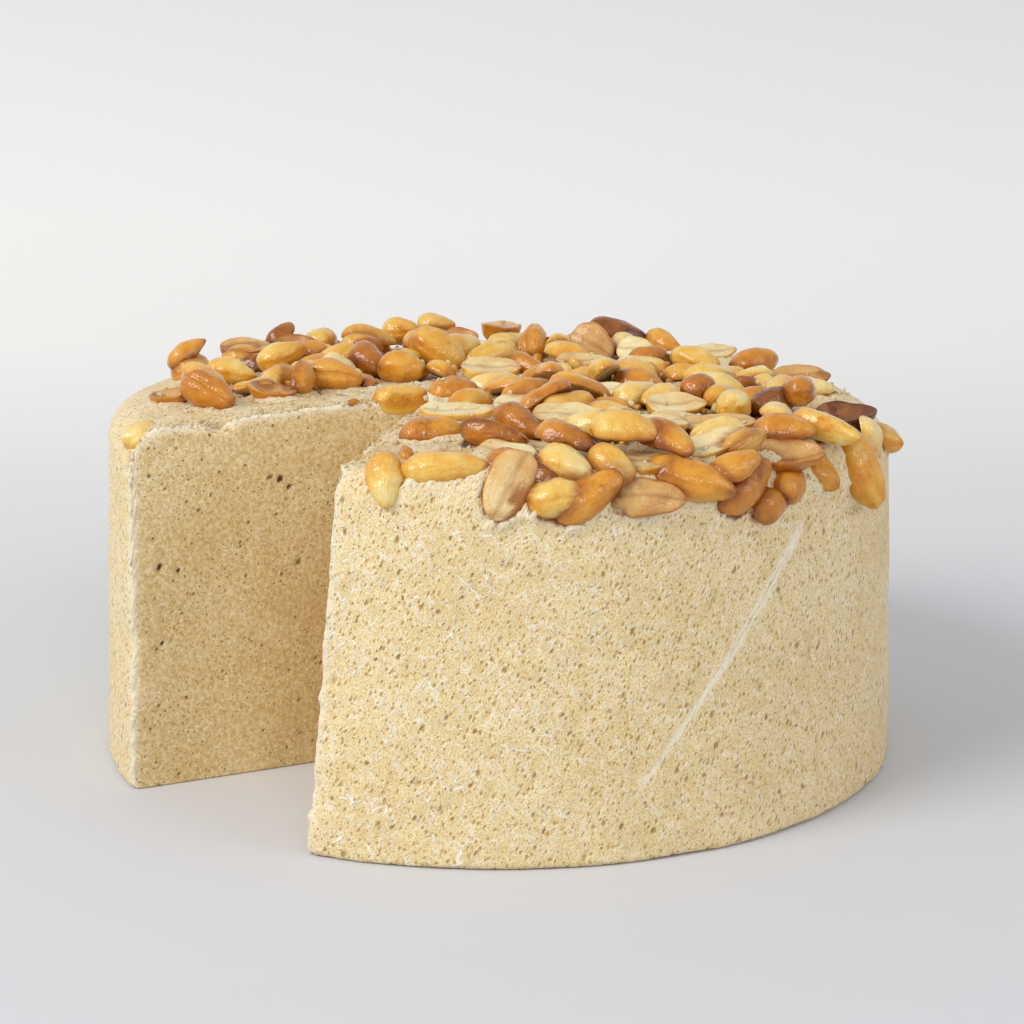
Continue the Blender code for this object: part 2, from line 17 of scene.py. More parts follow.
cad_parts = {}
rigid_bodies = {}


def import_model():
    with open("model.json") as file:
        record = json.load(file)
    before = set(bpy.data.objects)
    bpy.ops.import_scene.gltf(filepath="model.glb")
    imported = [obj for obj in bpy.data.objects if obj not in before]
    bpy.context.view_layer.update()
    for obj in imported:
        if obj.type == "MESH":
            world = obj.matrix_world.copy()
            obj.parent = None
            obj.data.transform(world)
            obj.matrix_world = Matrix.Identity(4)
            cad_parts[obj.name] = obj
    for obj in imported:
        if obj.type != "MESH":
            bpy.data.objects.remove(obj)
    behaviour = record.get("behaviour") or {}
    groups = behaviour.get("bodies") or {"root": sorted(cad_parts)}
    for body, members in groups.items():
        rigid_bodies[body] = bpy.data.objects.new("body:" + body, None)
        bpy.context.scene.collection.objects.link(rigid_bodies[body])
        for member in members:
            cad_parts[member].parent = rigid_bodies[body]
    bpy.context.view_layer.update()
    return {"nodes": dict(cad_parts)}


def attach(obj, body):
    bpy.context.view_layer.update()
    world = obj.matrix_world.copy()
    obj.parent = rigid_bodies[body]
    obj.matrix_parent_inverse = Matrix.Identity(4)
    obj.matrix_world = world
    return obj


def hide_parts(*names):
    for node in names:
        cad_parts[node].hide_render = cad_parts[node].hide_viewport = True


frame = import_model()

MM = 0.001
print("nodes:", ", ".join(frame["nodes"]))

# %% [markdown]
# ## Colours and nodes
# A colour is easiest to read as an sRGB hex value, but a shader counts in linear light, so one
# function turns the first into the second. A tree of nodes is long to write out, so one more function
# adds a node, sets its properties and sockets, and links whatever it is given as a node or an output.

# %% Helpers for colours and nodes


def linear(hex_colour):
    """An sRGB hex colour as linear red, green, blue and alpha."""
    parts = [int(hex_colour[start:start + 2], 16) / 255 for start in (1, 3, 5)]
    return (*[c / 12.92 if c <= 0.04045 else ((c + 0.055) / 1.055) ** 2.4 for c in parts], 1.0)


def add_node(tree, kind, sockets=None, stops=(), **settings):
    """Adds a node; sockets are set or linked by name or index, and stops fill a colour ramp."""
    made = tree.nodes.new(kind)
    for name, value in settings.items():
        setattr(made, name, value)
    for key, value in (sockets or {}).items():
        if isinstance(value, bpy.types.Node):
            value = next(output for output in value.outputs if output.enabled)
        if isinstance(value, bpy.types.NodeSocket):
            tree.links.new(value, made.inputs[key])
        else:
            made.inputs[key].default_value = value
    for index, (place, colour) in enumerate(stops):
        elements = made.color_ramp.elements
        element = elements[index] if index < 2 else elements.new(place)
        element.position = place
        element.color = linear(colour)
    return made


def new_material(name):
    """A material with an empty tree."""
    material = bpy.data.materials.new(name)
    material.use_nodes = True
    material.node_tree.nodes.clear()
    return material


print("sand as linear light:", [round(part, 3) for part in linear("#E4D0A5")])

# %% [markdown]
# ## Camera
# The picture was taken from a little above the wheel, from nearly six of its radii away, with a long
# lens. The camera stands at the same place, and its lens is worked out from a focal length in pixels:
# a sensor 36 mm wide shows 1024 of them.

# %% Camera
PICTURE_PIXELS = 1024
FOCAL_PIXELS = 2300
SENSOR = 36.0
CAMERA_PLACE = (0.0, -0.6015, 0.1950)
CAMERA_DOWN = 12.58
CAMERA_RIGHT = 0.33

camera_data = bpy.data.cameras.new("camera")
camera_data.sensor_width = SENSOR
camera_data.lens = SENSOR * FOCAL_PIXELS / PICTURE_PIXELS
camera = bpy.data.objects.new("camera", camera_data)
bpy.context.collection.objects.link(camera)
camera.location = CAMERA_PLACE
camera.rotation_euler = (math.radians(90 - CAMERA_DOWN), 0.0, -math.radians(CAMERA_RIGHT))
bpy.context.scene.camera = camera
print(f"lens {camera_data.lens:.1f} mm")

# %% [markdown]
# ## Floor
# A plain pale floor that turns up into a backdrop behind the wheel, like a photographer's paper roll. It
# could be a plane and a wall, but a bend in place of the corner keeps the light even. It is one strip of
# faces pulled along X. It isn't part of the object.

# %% Floor and backdrop
FLOOR_DROP = 0.2 * MM
SWEEP_START = 0.32
SWEEP_RADIUS = 0.6
STAGE_HALF = 3.0
BEND_STEPS = 16

line = [(-STAGE_HALF, 0.0)]
for step in range(BEND_STEPS + 1):
    turn = math.radians(90 * step / BEND_STEPS)
    line.append((SWEEP_START + SWEEP_RADIUS * math.sin(turn), SWEEP_RADIUS * (1 - math.cos(turn))))
line.append((SWEEP_START + SWEEP_RADIUS, STAGE_HALF))
points = [(x, y, z - FLOOR_DROP) for y, z in line for x in (-STAGE_HALF, STAGE_HALF)]
quads = [(2 * row, 2 * row + 1, 2 * row + 3, 2 * row + 2) for row in range(len(line) - 1)]
floor_mesh = bpy.data.meshes.new("floor")
floor_mesh.from_pydata(points, [], quads)
floor_mesh.shade_smooth()
floor = bpy.data.objects.new("floor", floor_mesh)
bpy.context.collection.objects.link(floor)

# Matt paper: bright, without gloss, its fibres just uneven enough to break the light. Light and shade are
# painted into its colour: the bend is painted palest as painted light, and the part that lies flat is
# painted a shade darker towards the viewer as painted shade. Here and below, a noise's scale is given as
# lumps to the millimetre.
paper = new_material("matt_white_paper")
tree = paper.node_tree
place = add_node(tree, "ShaderNodeTexCoord").outputs["Object"]
fibre = add_node(tree, "ShaderNodeTexNoise", {"Vector": place, "Scale": 0.9 / MM, "Detail": 2.0})
shade = add_node(tree, "ShaderNodeValToRGB", {"Fac": fibre}, stops=((0.3, "#D8D8D8"), (0.7, "#DDDDDD")))
spot = add_node(tree, "ShaderNodeSeparateXYZ", {"Vector": place})
up = spot.outputs["Z"]
# Painted light: the bend is painted paler.
painted_bend_light = add_node(tree, "ShaderNodeMapRange", {"Value": up, "From Min": 0.25, "From Max": 0.08})
shade = add_node(tree, "ShaderNodeMix", {0: painted_bend_light, 6: shade, 7: linear("#ECEBE8")}, data_type="RGBA")
# Painted shade: the flat part is painted darker towards the viewer.
near = add_node(tree, "ShaderNodeMapRange", {"Value": spot.outputs["Y"], "From Min": 0.4, "From Max": 0.0})
flat = {0: near, 6: linear("#E3E3E3"), 7: linear("#CFD0D3")}
flat = add_node(tree, "ShaderNodeMix", flat, data_type="RGBA")
lying = add_node(tree, "ShaderNodeMapRange", {"Value": up, "From Min": 0.03, "From Max": 0.0})
shade = add_node(tree, "ShaderNodeMix", {0: lying, 6: shade, 7: flat}, data_type="RGBA")
surface = add_node(tree, "ShaderNodeBsdfPrincipled", {"Base Color": shade, "Roughness": 0.9})
add_node(tree, "ShaderNodeOutputMaterial", {"Surface": surface})
floor_mesh.materials.append(paper)
print("floor faces:", len(floor_mesh.polygons))

# %% [markdown]
# ## Light
# The picture is lit by soft daylight: a wide source from the left and above, a paler one from the
# right, and a white room that fills the shadows. Two area lamps and an even world give the same.
# A third, small and low lamp at the front makes the broad glints on the oily peanuts.

# %% Lamps and world
# name, place, width, watts, colour
LAMPS = (
    ("window", (-1.2, -0.9, 1.2), 1.0, 23.0, "#FFFDFA"),
    ("room_wall", (1.4, -0.8, 0.8), 1.0, 5.0, "#F6F8FF"),
    ("reflector", (0.35, -1.5, 0.8), 0.35, 3.0, "#FFFFFF"),
)
LAMPS_AIM_AT = Vector((0.0, 0.0, 0.06))

for name, place, size, watts, colour in LAMPS:
    lamp_data = bpy.data.lights.new(name, "AREA")
    lamp_data.shape = "DISK"
    lamp_data.size = size
    lamp_data.energy = watts
    lamp_data.color = linear(colour)[:3]
    lamp = bpy.data.objects.new(name, lamp_data)
    bpy.context.collection.objects.link(lamp)
    lamp.location = place
    lamp.rotation_euler = (LAMPS_AIM_AT - Vector(place)).to_track_quat("-Z", "Y").to_euler()

world = bpy.data.worlds.new("white_room")
world.use_nodes = True
world.node_tree.nodes["Background"].inputs["Color"].default_value = linear("#F4F6FA")
world.node_tree.nodes["Background"].inputs["Strength"].default_value = 0.6
bpy.context.scene.world = world
bpy.context.scene.view_settings.view_transform = "Standard"
print("lamps:", len(LAMPS))

# %% [markdown]
# ## Where the surface lies
# The wheel isn't a plain cylinder: its wall tapers, its rim is worn by different amounts round the
# wheel, and its top swells and falls. A few short functions of angle and place give that surface.
# They are worth having by themselves, because the halva, the paste and every peanut stand on it.

# %% The wheel's surface as functions
WHEEL_RADIUS = 105 * MM
WHEEL_HEIGHT = 94.3 * MM
WALL_TAPER = 0.03
TOP_FALL = 2.6 * MM
SWELL_HEIGHT = 0.5 * MM
SWELL_LENGTH = 13 * MM

# The rounded rim: angle round the wheel in degrees from the front, depth and width in mm.
RIM = (
    (-180, 7, 8),
    (-90, 7, 7),
    (-62, 12, 8),
    (-40, 8, 6),
    (-22, 8, 3.5),
    (0, 9, 8),
    (60, 10, 9),
    (90, 12, 18),
    (125, 10, 14),
    (150, 8, 9),
    (180, 7, 8),
)

# The missing wedge: two knife cuts that meet short of the axis. The second one leans.
CUT_CORNER = (-16.3 * MM, -12.1 * MM)
CUT_A_AT_WALL = (-92.7 * MM, -49.2 * MM)
CUT_B_AT_TOP = (-36.2 * MM, -94.5 * MM)
CUT_B_AT_BASE = (-45.1 * MM, -94.5 * MM)
NO_GROUND = -1.0


def angle_of(x, y):
    return np.degrees(np.arctan2(x, -y))


def rim_at(angle):
    """Depth and width of the rounded rim at an angle round the wheel."""
    angles, depths, widths = np.array(RIM, float).T
    return np.interp(angle, angles, depths) * MM, np.interp(angle, angles, widths) * MM


def wall_radius(z):
    return WHEEL_RADIUS - WALL_TAPER * z


def top_height(x, y):
    """Height of the flat of the top, which falls towards the rim and swells where it was pressed."""
    share = np.hypot(x, y) / WHEEL_RADIUS
    swell = np.sin(x / SWELL_LENGTH + 1.0) * np.cos(y / SWELL_LENGTH - 0.5)
    return WHEEL_HEIGHT - TOP_FALL * share**3 + SWELL_HEIGHT * swell


def cut_side(x, y, at_wall, side):
    """Distance from a cut's line on the top, positive in the halva that the cut bounds."""
    along = Vector(at_wall) - Vector(CUT_CORNER)
    along.normalize()
    return side * ((x - CUT_CORNER[0]) * along.y - (y - CUT_CORNER[1]) * along.x)


def from_cuts(x, y, margin_a=0.0, margin_b=0.0):
    """Positive where a point of the top is in the halva, further than the margins from the cuts."""
    from_a = cut_side(x, y, CUT_A_AT_WALL, 1) - margin_a
    from_b = cut_side(x, y, CUT_B_AT_TOP, -1) - margin_b
    return np.maximum(from_a, from_b)


def rounded_top(x, y, edge):
    """Height of the top with its rounded rim, which starts at a radius called edge."""
    depth, width = rim_at(angle_of(x, y))
    across = np.clip((np.hypot(x, y) - edge + width) / width, 0, 1)
    return top_height(x, y) - depth * (1 - np.sqrt(1 - across**2))


def surface_height(x, y):
    """Height of the halva's upper surface, and far below where there is no halva."""
    edge = wall_radius(WHEEL_HEIGHT)
    height = rounded_top(x, y, edge)
    return np.where((np.hypot(x, y) < edge) & (from_cuts(x, y) > 0), height, NO_GROUND)


print(f"rim at the right: {rim_at(90)[0] / MM:.0f} mm deep, {rim_at(90)[1] / MM:.0f} mm wide")

# %% [markdown]
# ## Where the peanuts lie
# Whoever made this pressed roasted peanuts over the whole top and a few over the rim. Those that
# show best are laid one by one: their shape, place, turn, pitch and roll, length and width, and how
# dark they are roasted, from 0 to 1. The rest are laid by a rule, as if by hand: each loose peanut
# tries a few places, leans with what is under it, sinks a little, and takes the lowest seat. A map of
# heights keeps count of what lies where. A physics run could do it too, but not one that puts the
# peanuts of the front where they are.

# %% The peanuts laid one by one
# shape, x, y, turn, pitch, roll in degrees, length, width, height where pressed into the rim, roast
LAID_PEANUTS = (
    # front rim, from the second cut round to the right
    ("half", -16, -66, 8, 8, 20, 15, 9, None, 0.50),
    ("half", -12, -97, 2, 5, 50, 20, 8, 92.5, 0.26),
    ("half", -1, -76, -20, -8, 125, 17, 8, None, 0.62),
    ("boat", 2, -86, -25, -5, -165, 15, 9, 94.5, 0.12),
    ("half", 3, -92, -5, 0, 20, 13, 8, 92.0, 0.60),
    ("half", 2, -100, -140, -55, 125, 18, 11, 89.0, 0.30),
    ("chip", 10, -95.5, -60, -30, 0, 10, 8, 89.5, 0.75),
    ("whole", 15, -95, -20, -18, 0, 14, 9, 92.5, 0.17),
    ("whole", 13, -100, 5, 12, 0, 14, 9.5, 86.5, 0.19),
    ("half", 20, -99, 6, 34, 60, 19, 9, 86.5, 0.42),
    ("chip", 25, -94, -40, -25, 30, 13, 8, 92.5, 0.25),
    ("half", 33, -98, -4, -3, -110, 18, 9, 86.0, 0.46),
    ("boat", 33, -91, -10, 0, -165, 13, 9, 93.0, 0.20),
    ("whole", 43.5, -91, -8, -15, 0, 21, 10.5, 88.5, 0.42),
    ("half", 15, -86, -25, -12, 0, 15, 9, 96.5, 0.60),
    ("half", 38, -85, -40, -14, 0, 16, 10, 96.0, 0.50),
    ("half", 29, -86, -6, -4, 10, 17, 10, 98.5, 0.28),
    ("boat", 50.5, -80, 12, 14, -155, 18, 8.5, 95.5, 0.15),
    ("half", 54, -88, 25, 18, 20, 14, 8, 90.5, 0.42),
    ("half", 56, -85, 35, 34, 100, 18, 10, 86.0, 0.55),
    ("half", 67, -77, 60, 40, 40, 11, 9, 84.5, 0.52),
    ("half", 62, -81, 40, 20, 60, 11, 9, 80.5, 0.55),
    ("half", 56.5, -79, 26, 22, 80, 13, 7, 94.5, 0.30),
    ("half", 76, -67, -40, -30, 50, 12, 8, 85.0, 0.45),
    ("cup", 67, -76, -4, 0, -156, 18, 10.5, 92.3, 0.46),
    # right rim
    ("whole", 87.5, -55, -30, -62, 0, 21, 12, 83.5, 0.36),
    ("chip", 91, -42, 60, -45, 60, 13, 8, 89.0, 0.15),
    ("whole", 96, -31, -15, -8, 0, 12, 8.5, 86.5, 0.38),
    ("whole", 78, -62, -26, -14, 0, 18, 8, 95.0, 0.25),
    ("half", 67.5, -67, -6, 0, 15, 15, 9, 95.0, 0.50),
    ("cup", 86.5, -38, -6, 2, -164, 15, 10.5, 95.0, 0.85),
    ("cup", 69, -32, 30, 14, 60, 15, 8, None, 0.85),
    ("whole", 58, -38, 85, 0, 0, 13, 9, None, 0.20),
    ("boat", 53, -58, 4, 2, -165, 18, 9, None, 0.35),
    ("whole", 76, -30, 60, 0, 0, 12, 8, None, 0.60),
    ("half", 83, -3, 10, 0, 0, 12, 9, None, 0.12),
    ("boat", 82, 15, -2, 4, -150, 16, 9, 95.3, 0.48),
    ("whole", 71, 32, 20, 16, 0, 15, 10, 95.8, 0.50),
    ("boat", 63, 60, 12, 0, -160, 12, 8, None, 0.15),
    ("half", 71, 5, -10, 0, 5, 9, 7, None, 0.12),
    ("boat", 62, -1, 25, 5, 140, 13, 7, None, 0.60),
    # pile beside the first cut, over a few peanuts that carry it
    ("whole", -84, 22, 70, 0, 0, 14, 10, None, 0.35),
    ("whole", -72, 48, 30, 0, 0, 15, 9, None, 0.35),
    ("whole", -62, 62, 10, 0, 0, 15, 9, None, 0.30),
    ("whole", -39, 64, 30, 0, 0, 15, 9, None, 0.35),
    ("whole", -19, 82, 80, 0, 0, 14, 9, None, 0.35),
    ("half", -51, 74, 0, 0, 0, 15, 9, None, 0.50),
    ("whole", -72, 12, -15, -8, 0, 14, 9, None, 0.25),
    ("whole", -77, -4, -38, -20, 0, 15, 9, None, 0.35),
    ("cup", -85, -15, -15, 5, -172, 11, 9, None, 0.45),
    ("split", -74, -22, -25, -26, 60, 16, 10, None, 0.58),
    ("half", -85, 21, 32, 32, 10, 13, 7, 100.3, 0.42),
    ("boat", -72, 48, 2, 0, -160, 15, 8.5, 98.8, 0.38),
    ("half", -63, 60, 38, 38, 30, 10, 6, 99.8, 0.70),
    ("half", -67, 38, 0, 0, 0, 12, 9, None, 0.70),
    ("cup", -58, 48, -10, 0, -150, 14, 9, 98.9, 0.65),
    ("whole", -52, 70, 65, 0, 0, 13, 9, 96.7, 0.28),
    ("cup", -58.5, -14, -10, -10, -174, 12.5, 9.5, None, 0.46),
    ("half", -52, -7, 75, 35, 80, 13, 8, 98.0, 0.52),
    ("whole", -60, 29, 25, 16, 0, 15, 9, 98.5, 0.28),
    ("split", -44, 2, -2, -8, 82, 16, 9.5, 97.2, 0.42),
    ("whole", -47, 24, 0, -4, 0, 17, 8, None, 0.42),
    ("whole", -36, 25, -50, -30, 0, 13, 9, None, 0.66),
    ("half", -38, 66, 4, -8, 0, 16, 9, 97.4, 0.30),
    ("split", -26, 17, -4, -8, 0, 14, 9.5, None, 0.38),
    ("whole", -17, 38, -12, -28, 0, 18, 11.5, None, 0.32),
    ("whole", -19, 84, 10, 0, 0, 12, 9, 99.0, 0.28),
    ("cup", -11.5, 76, -5, 2, -150, 11, 8, None, 0.52),
    ("whole", -29, 76, -10, 0, 0, 12, 9, 98.6, 0.28),
    # middle and back
    ("half", 35, 76, 40, 0, 0, 15, 9, None, 0.40),
    ("boat", 1, 86, 80, 0, -178, 13, 11.5, 99.3, 0.38),
    ("split", 10, 66, 80, 38, 0, 14, 9, 96.6, 0.45),
    ("boat", -2, 14, 0, -2, -165, 16, 11, None, 0.22),
    ("half", -12, -13, 6, 6, 25, 13, 9, None, 0.52),
    ("half", 27, 56, -22, -26, -110, 14, 11, None, 0.42),
    ("half", 35, 78, -5, -10, 30, 19, 10, None, 0.85),
    ("half", 39, 50, -20, -5, -130, 11, 9, None, 0.15),
    ("whole", 49, 74, -42, -24, 0, 14, 8, 95.0, 0.40),
    ("whole", 55, 31, -30, -14, 0, 15, 9, None, 0.28),
    ("boat", 23, 34, 2, 0, -165, 14, 9, None, 0.25),
    ("half", 42, 40, 28, 14, 60, 12, 7, None, 0.55),
    ("half", 37, 0, -15, -5, 20, 15, 10, None, 0.50),
    ("boat", 27, -16, 0, 0, -168, 13, 9, None, 0.12),
    ("chip", 51, 19, 0, 0, 0, 13, 8, None, 0.35),
    ("whole", 51, -21, 88, 0, 0, 13, 10, None, 0.65),
    ("boat", 44, -40, 4, 0, -160, 15, 10, None, 0.20),
    ("chip", 28, -33, -10, 0, 0, 11, 7, None, 0.50),
    ("half", 29, -54, 12, 5, 30, 11, 8, None, 0.60),
    ("boat", 38, -62, 6, 2, -168, 15, 10, None, 0.15),
    ("boat", 17, -56, 0, 0, -160, 18, 9, None, 0.18),
    ("boat", 5, -34, 0, 0, -165, 13, 9, None, 0.15),
    ("half", 5, -64, -45, -18, 60, 16, 8, None, 0.65),
    ("boat", -10, -45, 2, 0, -168, 19, 9, None, 0.15),
)

# Peanuts sunk in the halva itself: beside the second cut, in the rim beside the first, and in the upper
# edge of the first, where the knife met it.
SUNK_PEANUTS = (
    ("whole", -25.5, -97, -88, -58, 0, 13.5, 8.5, 89.8, 0.24),
    ("whole", -88.5, -40.5, 55, 25, 0, 10.5, 8, 89.3, 0.20),
    ("whole", -24.6, -13.4, 26, 0, 0, 17, 9, 93.6, 0.33),
)
print("laid by hand:", len(LAID_PEANUTS), "sunk:", len(SUNK_PEANUTS))
print("mean length:", round(float(np.mean([row[6] for row in LAID_PEANUTS])), 1), "mm")

# %% [markdown]
# ## The form of a peanut and the bed
# To lay a peanut, its full shape isn't needed yet: a ball, drawn out to a drop, stands for a kernel,
# and with one side pressed flat for a half. The bed is the part of the top that carries peanuts.

# %% The bed and the form of a peanut
# The peanut bed: its outer edge as angle and radius in mm, and its distance from the two cuts.
BED_EDGE = (
    (-180, 97),
    (-130, 94),
    (-110, 91),
    (-85, 90),
    (-60, 84),
    (-15, 97),
    (20, 98),
    (100, 98),
    (180, 97),
)
BED_FROM_CUT_A = 9 * MM
BED_FROM_CUT_B = 4 * MM

# How far out a loose peanut may have its middle, as angle and radius in mm.
LOOSE_EDGE = (
    (-180, 76),
    (-140, 84),
    (-125, 70),
    (-60, 70),
    (-30, 96),
    (40, 96),
    (62, 80),
    (95, 74),
    (125, 66),
    (150, 72),
    (180, 76),
)

LOOSE_FROM_CUT_A = 24 * MM

WHOLE_SHAPES = ("whole", "split")
GERM_END_TAPER = 0.16
WHOLE_DEPTH = 0.92
HALF_DEPTH = 1.0
FLAT_SIDE = 0.14


def peanut_form(points, shape, length, width):
    """Shapes points of a unit ball, poles on X, into the outside of a kernel or of a half."""
    x, y, z = np.array(points, float).T
    slim = 1 - GERM_END_TAPER * x
    depth = WHOLE_DEPTH
    if shape not in WHOLE_SHAPES:
        depth = HALF_DEPTH
        z = np.where(z < 0, z * FLAT_SIDE, z)
    return np.stack([x * length / 2, y * slim * width / 2, z * slim * depth * width / 2], -1) * MM


def peanut_turn(turn, pitch, roll):
    """Rotation of a peanut: rolled on its length, then pitched, then turned on the wheel."""
    rolled = Matrix.Rotation(math.radians(roll), 3, "X")
    pitched = Matrix.Rotation(math.radians(-pitch), 3, "Y")
    return np.array(Matrix.Rotation(math.radians(turn), 3, "Z") @ pitched @ rolled)


def ball_points(rings, sides):
    """Points of a unit ball in rings round X."""
    lengthwise, around = np.meshgrid(
        np.linspace(0, math.pi, rings), np.linspace(0, 2 * math.pi, sides, endpoint=False)
    )
    wide = np.sin(lengthwise)
    points = np.stack([np.cos(lengthwise), wide * np.cos(around), wide * np.sin(around)], -1)
    return points.reshape(-1, 3)


def bed_edge(angle, edge=BED_EDGE):
    """Radius of the bed's edge at an angle round the wheel."""
    angles, radii = np.array(edge, float).T
    return np.interp(angle, angles, radii) * MM


def in_bed(x, y, edge=BED_EDGE, margin_a=BED_FROM_CUT_A):
    inside = math.hypot(x, y) < bed_edge(angle_of(x, y), edge)
    return inside and from_cuts(x, y, margin_a, BED_FROM_CUT_B) > 0


print("the bed's edge, in front and behind:", [round(bed_edge(angle) / MM) for angle in (0, 180)], "mm")

# %% [markdown]
# ## Finding a seat
# A peanut rests where a small share of its points touch what is under it, and leans with the slope there.
# The map of heights answers both. A second map, across the line of sight from the front, tells whether a
# loose peanut would hide one that was laid one by one.

# %% Seats, slopes and lines of sight
MAP_CELL = 1.5 * MM
MAP_HALF = 120 * MM
SINK = 0.3 * MM
SHARE_RESTING = 0.1
LEAN_REACH = 0.35
STEEPEST_LEAN = math.radians(32)
VIEW_CELLS = 500
VIEW_SIZE = 300


def ground_cells(points):
    """Cells of the map of heights that some points stand over."""
    cells = np.rint((points[:, :2] + MAP_HALF) / MAP_CELL).astype(int)
    return cells[:, 0], cells[:, 1]


def view_cells(points):
    """Cells of a map across the line of sight for each point, and how far away it is."""
    right, away, up = (points - CAMERA_PLACE).T
    down = math.radians(CAMERA_DOWN)
    depth = away * math.cos(down) - up * math.sin(down)
    rise = away * math.sin(down) + up * math.cos(down)
    column = np.rint(VIEW_CELLS * right / depth + VIEW_SIZE / 2).astype(int)
    row = np.rint(VIEW_CELLS * rise / depth + VIEW_SIZE / 2).astype(int)
    return (column, row), depth


def settled(points, ground):
    """How far a peanut's points rise so that a share of them is under the ground, sunk in a little."""
    return np.quantile(ground[ground_cells(points)] - points[:, 2], 1 - SHARE_RESTING) - SINK


def share_seen(points, ground):
    """Share of a peanut's surface that nothing laid later covers from above."""
    return np.mean(points[:, 2] > ground[ground_cells(points)] - MAP_CELL)


def lean_on(ground, x, y, turn, length, width):
    """Pitch and roll that lay a peanut along the slope under it, in degrees."""
    spans = []
    for along, reach in ((turn, LEAN_REACH * length * MM), (turn + 90, LEAN_REACH * width * MM)):
        step = np.array([math.cos(math.radians(along)), math.sin(math.radians(along))]) * reach
        ends = np.array([[x, y] + step, [x, y] - step])
        high, low = ground[ground_cells(ends)]
        lean = math.atan2(high - low, 2 * reach)
        spans.append(math.degrees(max(-STEEPEST_LEAN, min(STEEPEST_LEAN, lean))))
    return spans


print("cells of the map of heights:", round(2 * MAP_HALF / MAP_CELL) ** 2)

# %% [markdown]
# ## Laying the peanuts
# Those listed one by one come first, then the loose ones: each takes the lowest of the seats it tries, and
# one that ends up buried is left out. What is random comes from two seeded draws, so that a change of the
# roasts never moves a peanut.

# %% Laying the peanuts
SEED = 24
LOOSE_PEANUTS = 300
TRIES = 90
SHARE_WHOLE = 0.3
LOOSE_LENGTHS = (12, 18)
LOOSE_SLIMNESS = (0.52, 0.64)
SHARE_ON_LAID = 0.1
SHARE_HIDING = 0.3
SHARE_SEEN = 0.38
HIGHEST_SEAT = 4.0 * MM
BARE_PATCH = (-16 * MM, -62 * MM)
BARE_RADIUS = 34 * MM
LEAST_ROAST = 0.06
ROAST_SPREAD = 0.62
BALL_RINGS, BALL_SIDES = 20, 20

# What a whole kernel turns out to be, and a half that lies on its dome or on its face.
LOOSE_WHOLES = ("whole", "whole", "split")
LOOSE_ON_DOME = ("boat", "boat", "boat", "cup")
LOOSE_ON_FACE = ("half", "half", "half", "chip")


def lay_peanuts():
    """Lays the peanuts: shape, turning matrix, length, width, centre and roast of each."""
    ball = ball_points(BALL_RINGS, BALL_SIDES)
    steps = int(round(2 * MAP_HALF / MAP_CELL)) + 1
    line = np.arange(steps) * MAP_CELL - MAP_HALF
    ground = surface_height(*np.meshgrid(line, line, indexing="ij"))
    empty = ground.copy()
    laid = []
    surfaces = []

    def place(shape, turning, length, width, centre, roast):
        points = peanut_form(ball, shape, length, width) @ turning.T + centre
        laid.append((shape, turning, length, width, centre, roast))
        surfaces.append(points)
        np.maximum.at(ground, ground_cells(points), points[:, 2])

    for shape, x, y, turn, pitch, roll, length, width, height, roast in LAID_PEANUTS:
        turning = peanut_turn(turn, pitch, roll)
        points = peanut_form(ball, shape, length, width) @ turning.T + (x * MM, y * MM, 0)
        z = settled(points, ground) if height is None else height * MM
        place(shape, turning, length, width, np.array([x * MM, y * MM, z]), roast)

    taken = ground > empty + MAP_CELL
    seen = np.full((VIEW_SIZE, VIEW_SIZE), -np.inf)
    for points in surfaces:
        cells, depth = view_cells(points)
        np.maximum.at(seen, cells, -depth)
    draw = np.random.default_rng(SEED)
    finish = np.random.default_rng(SEED + 1)
    for _ in range(LOOSE_PEANUTS):
        is_whole = draw.random() < SHARE_WHOLE
        length = draw.uniform(*LOOSE_LENGTHS)
        width = length * draw.uniform(*LOOSE_SLIMNESS)
        shape = "whole" if is_whole else "half"
        best = None
        for _ in range(TRIES):
            x, y = draw.uniform(-WHEEL_RADIUS, WHEEL_RADIUS, 2)
            turn = draw.uniform(-180, 180)
            face = draw.choice([0, 0, 180])
            bare = math.dist((x, y), BARE_PATCH) < BARE_RADIUS
            if bare or not in_bed(x, y, LOOSE_EDGE, LOOSE_FROM_CUT_A):
                continue
            pitch, lean = lean_on(ground, x, y, turn, length, width)
            turning = peanut_turn(turn, pitch, lean + face)
            points = peanut_form(ball, shape, length, width) @ turning.T + (x, y, 0)
            clear_of_cuts = from_cuts(points[:, 0], points[:, 1]).min() > BED_FROM_CUT_B / 2
            inside_rim = np.hypot(points[:, 0], points[:, 1]).max() < WHEEL_RADIUS
            on_laid = np.mean(taken[ground_cells(points)]) > SHARE_ON_LAID
            if on_laid or not (clear_of_cuts and inside_rim):
                continue
            z = settled(points, ground)
            seat = z - top_height(x, y)
            cells, depth = view_cells(points + (0, 0, z))
            hiding = np.mean((seen[cells] > -np.inf) & (depth < -seen[cells]))
            if hiding < SHARE_HIDING and (best is None or seat < best[0]):
                best = (seat, turning, np.array([x, y, z]), face)
        if best is not None and best[0] < HIGHEST_SEAT:
            _, turning, centre, face = best
            shapes = LOOSE_ON_DOME if face else LOOSE_ON_FACE
            shape = str(finish.choice(LOOSE_WHOLES if is_whole else shapes))
            roast = LEAST_ROAST + ROAST_SPREAD * finish.beta(1.5, 2.4)
            place(shape, turning, length, width, centre, roast)
    by_hand = len(LAID_PEANUTS)
    kept = laid[:by_hand]
    for peanut, points in zip(laid[by_hand:], surfaces[by_hand:]):
        if share_seen(points, ground) > SHARE_SEEN:
            kept.append(peanut)
    return kept


peanuts = lay_peanuts()
print("peanuts on the top:", len(peanuts))

# %% [markdown]
# ## How the halva meets a peanut
# Soft halva lies close against each peanut and never runs through one. To see where it would, a ray is
# sent through the peanut's ellipsoid, which a formula solves for thousands of points at once; casting
# rays at a mesh would give the same answer far more slowly.

# %% Measuring against the peanuts
CONTACT_RINGS, CONTACT_SIDES = 14, 16


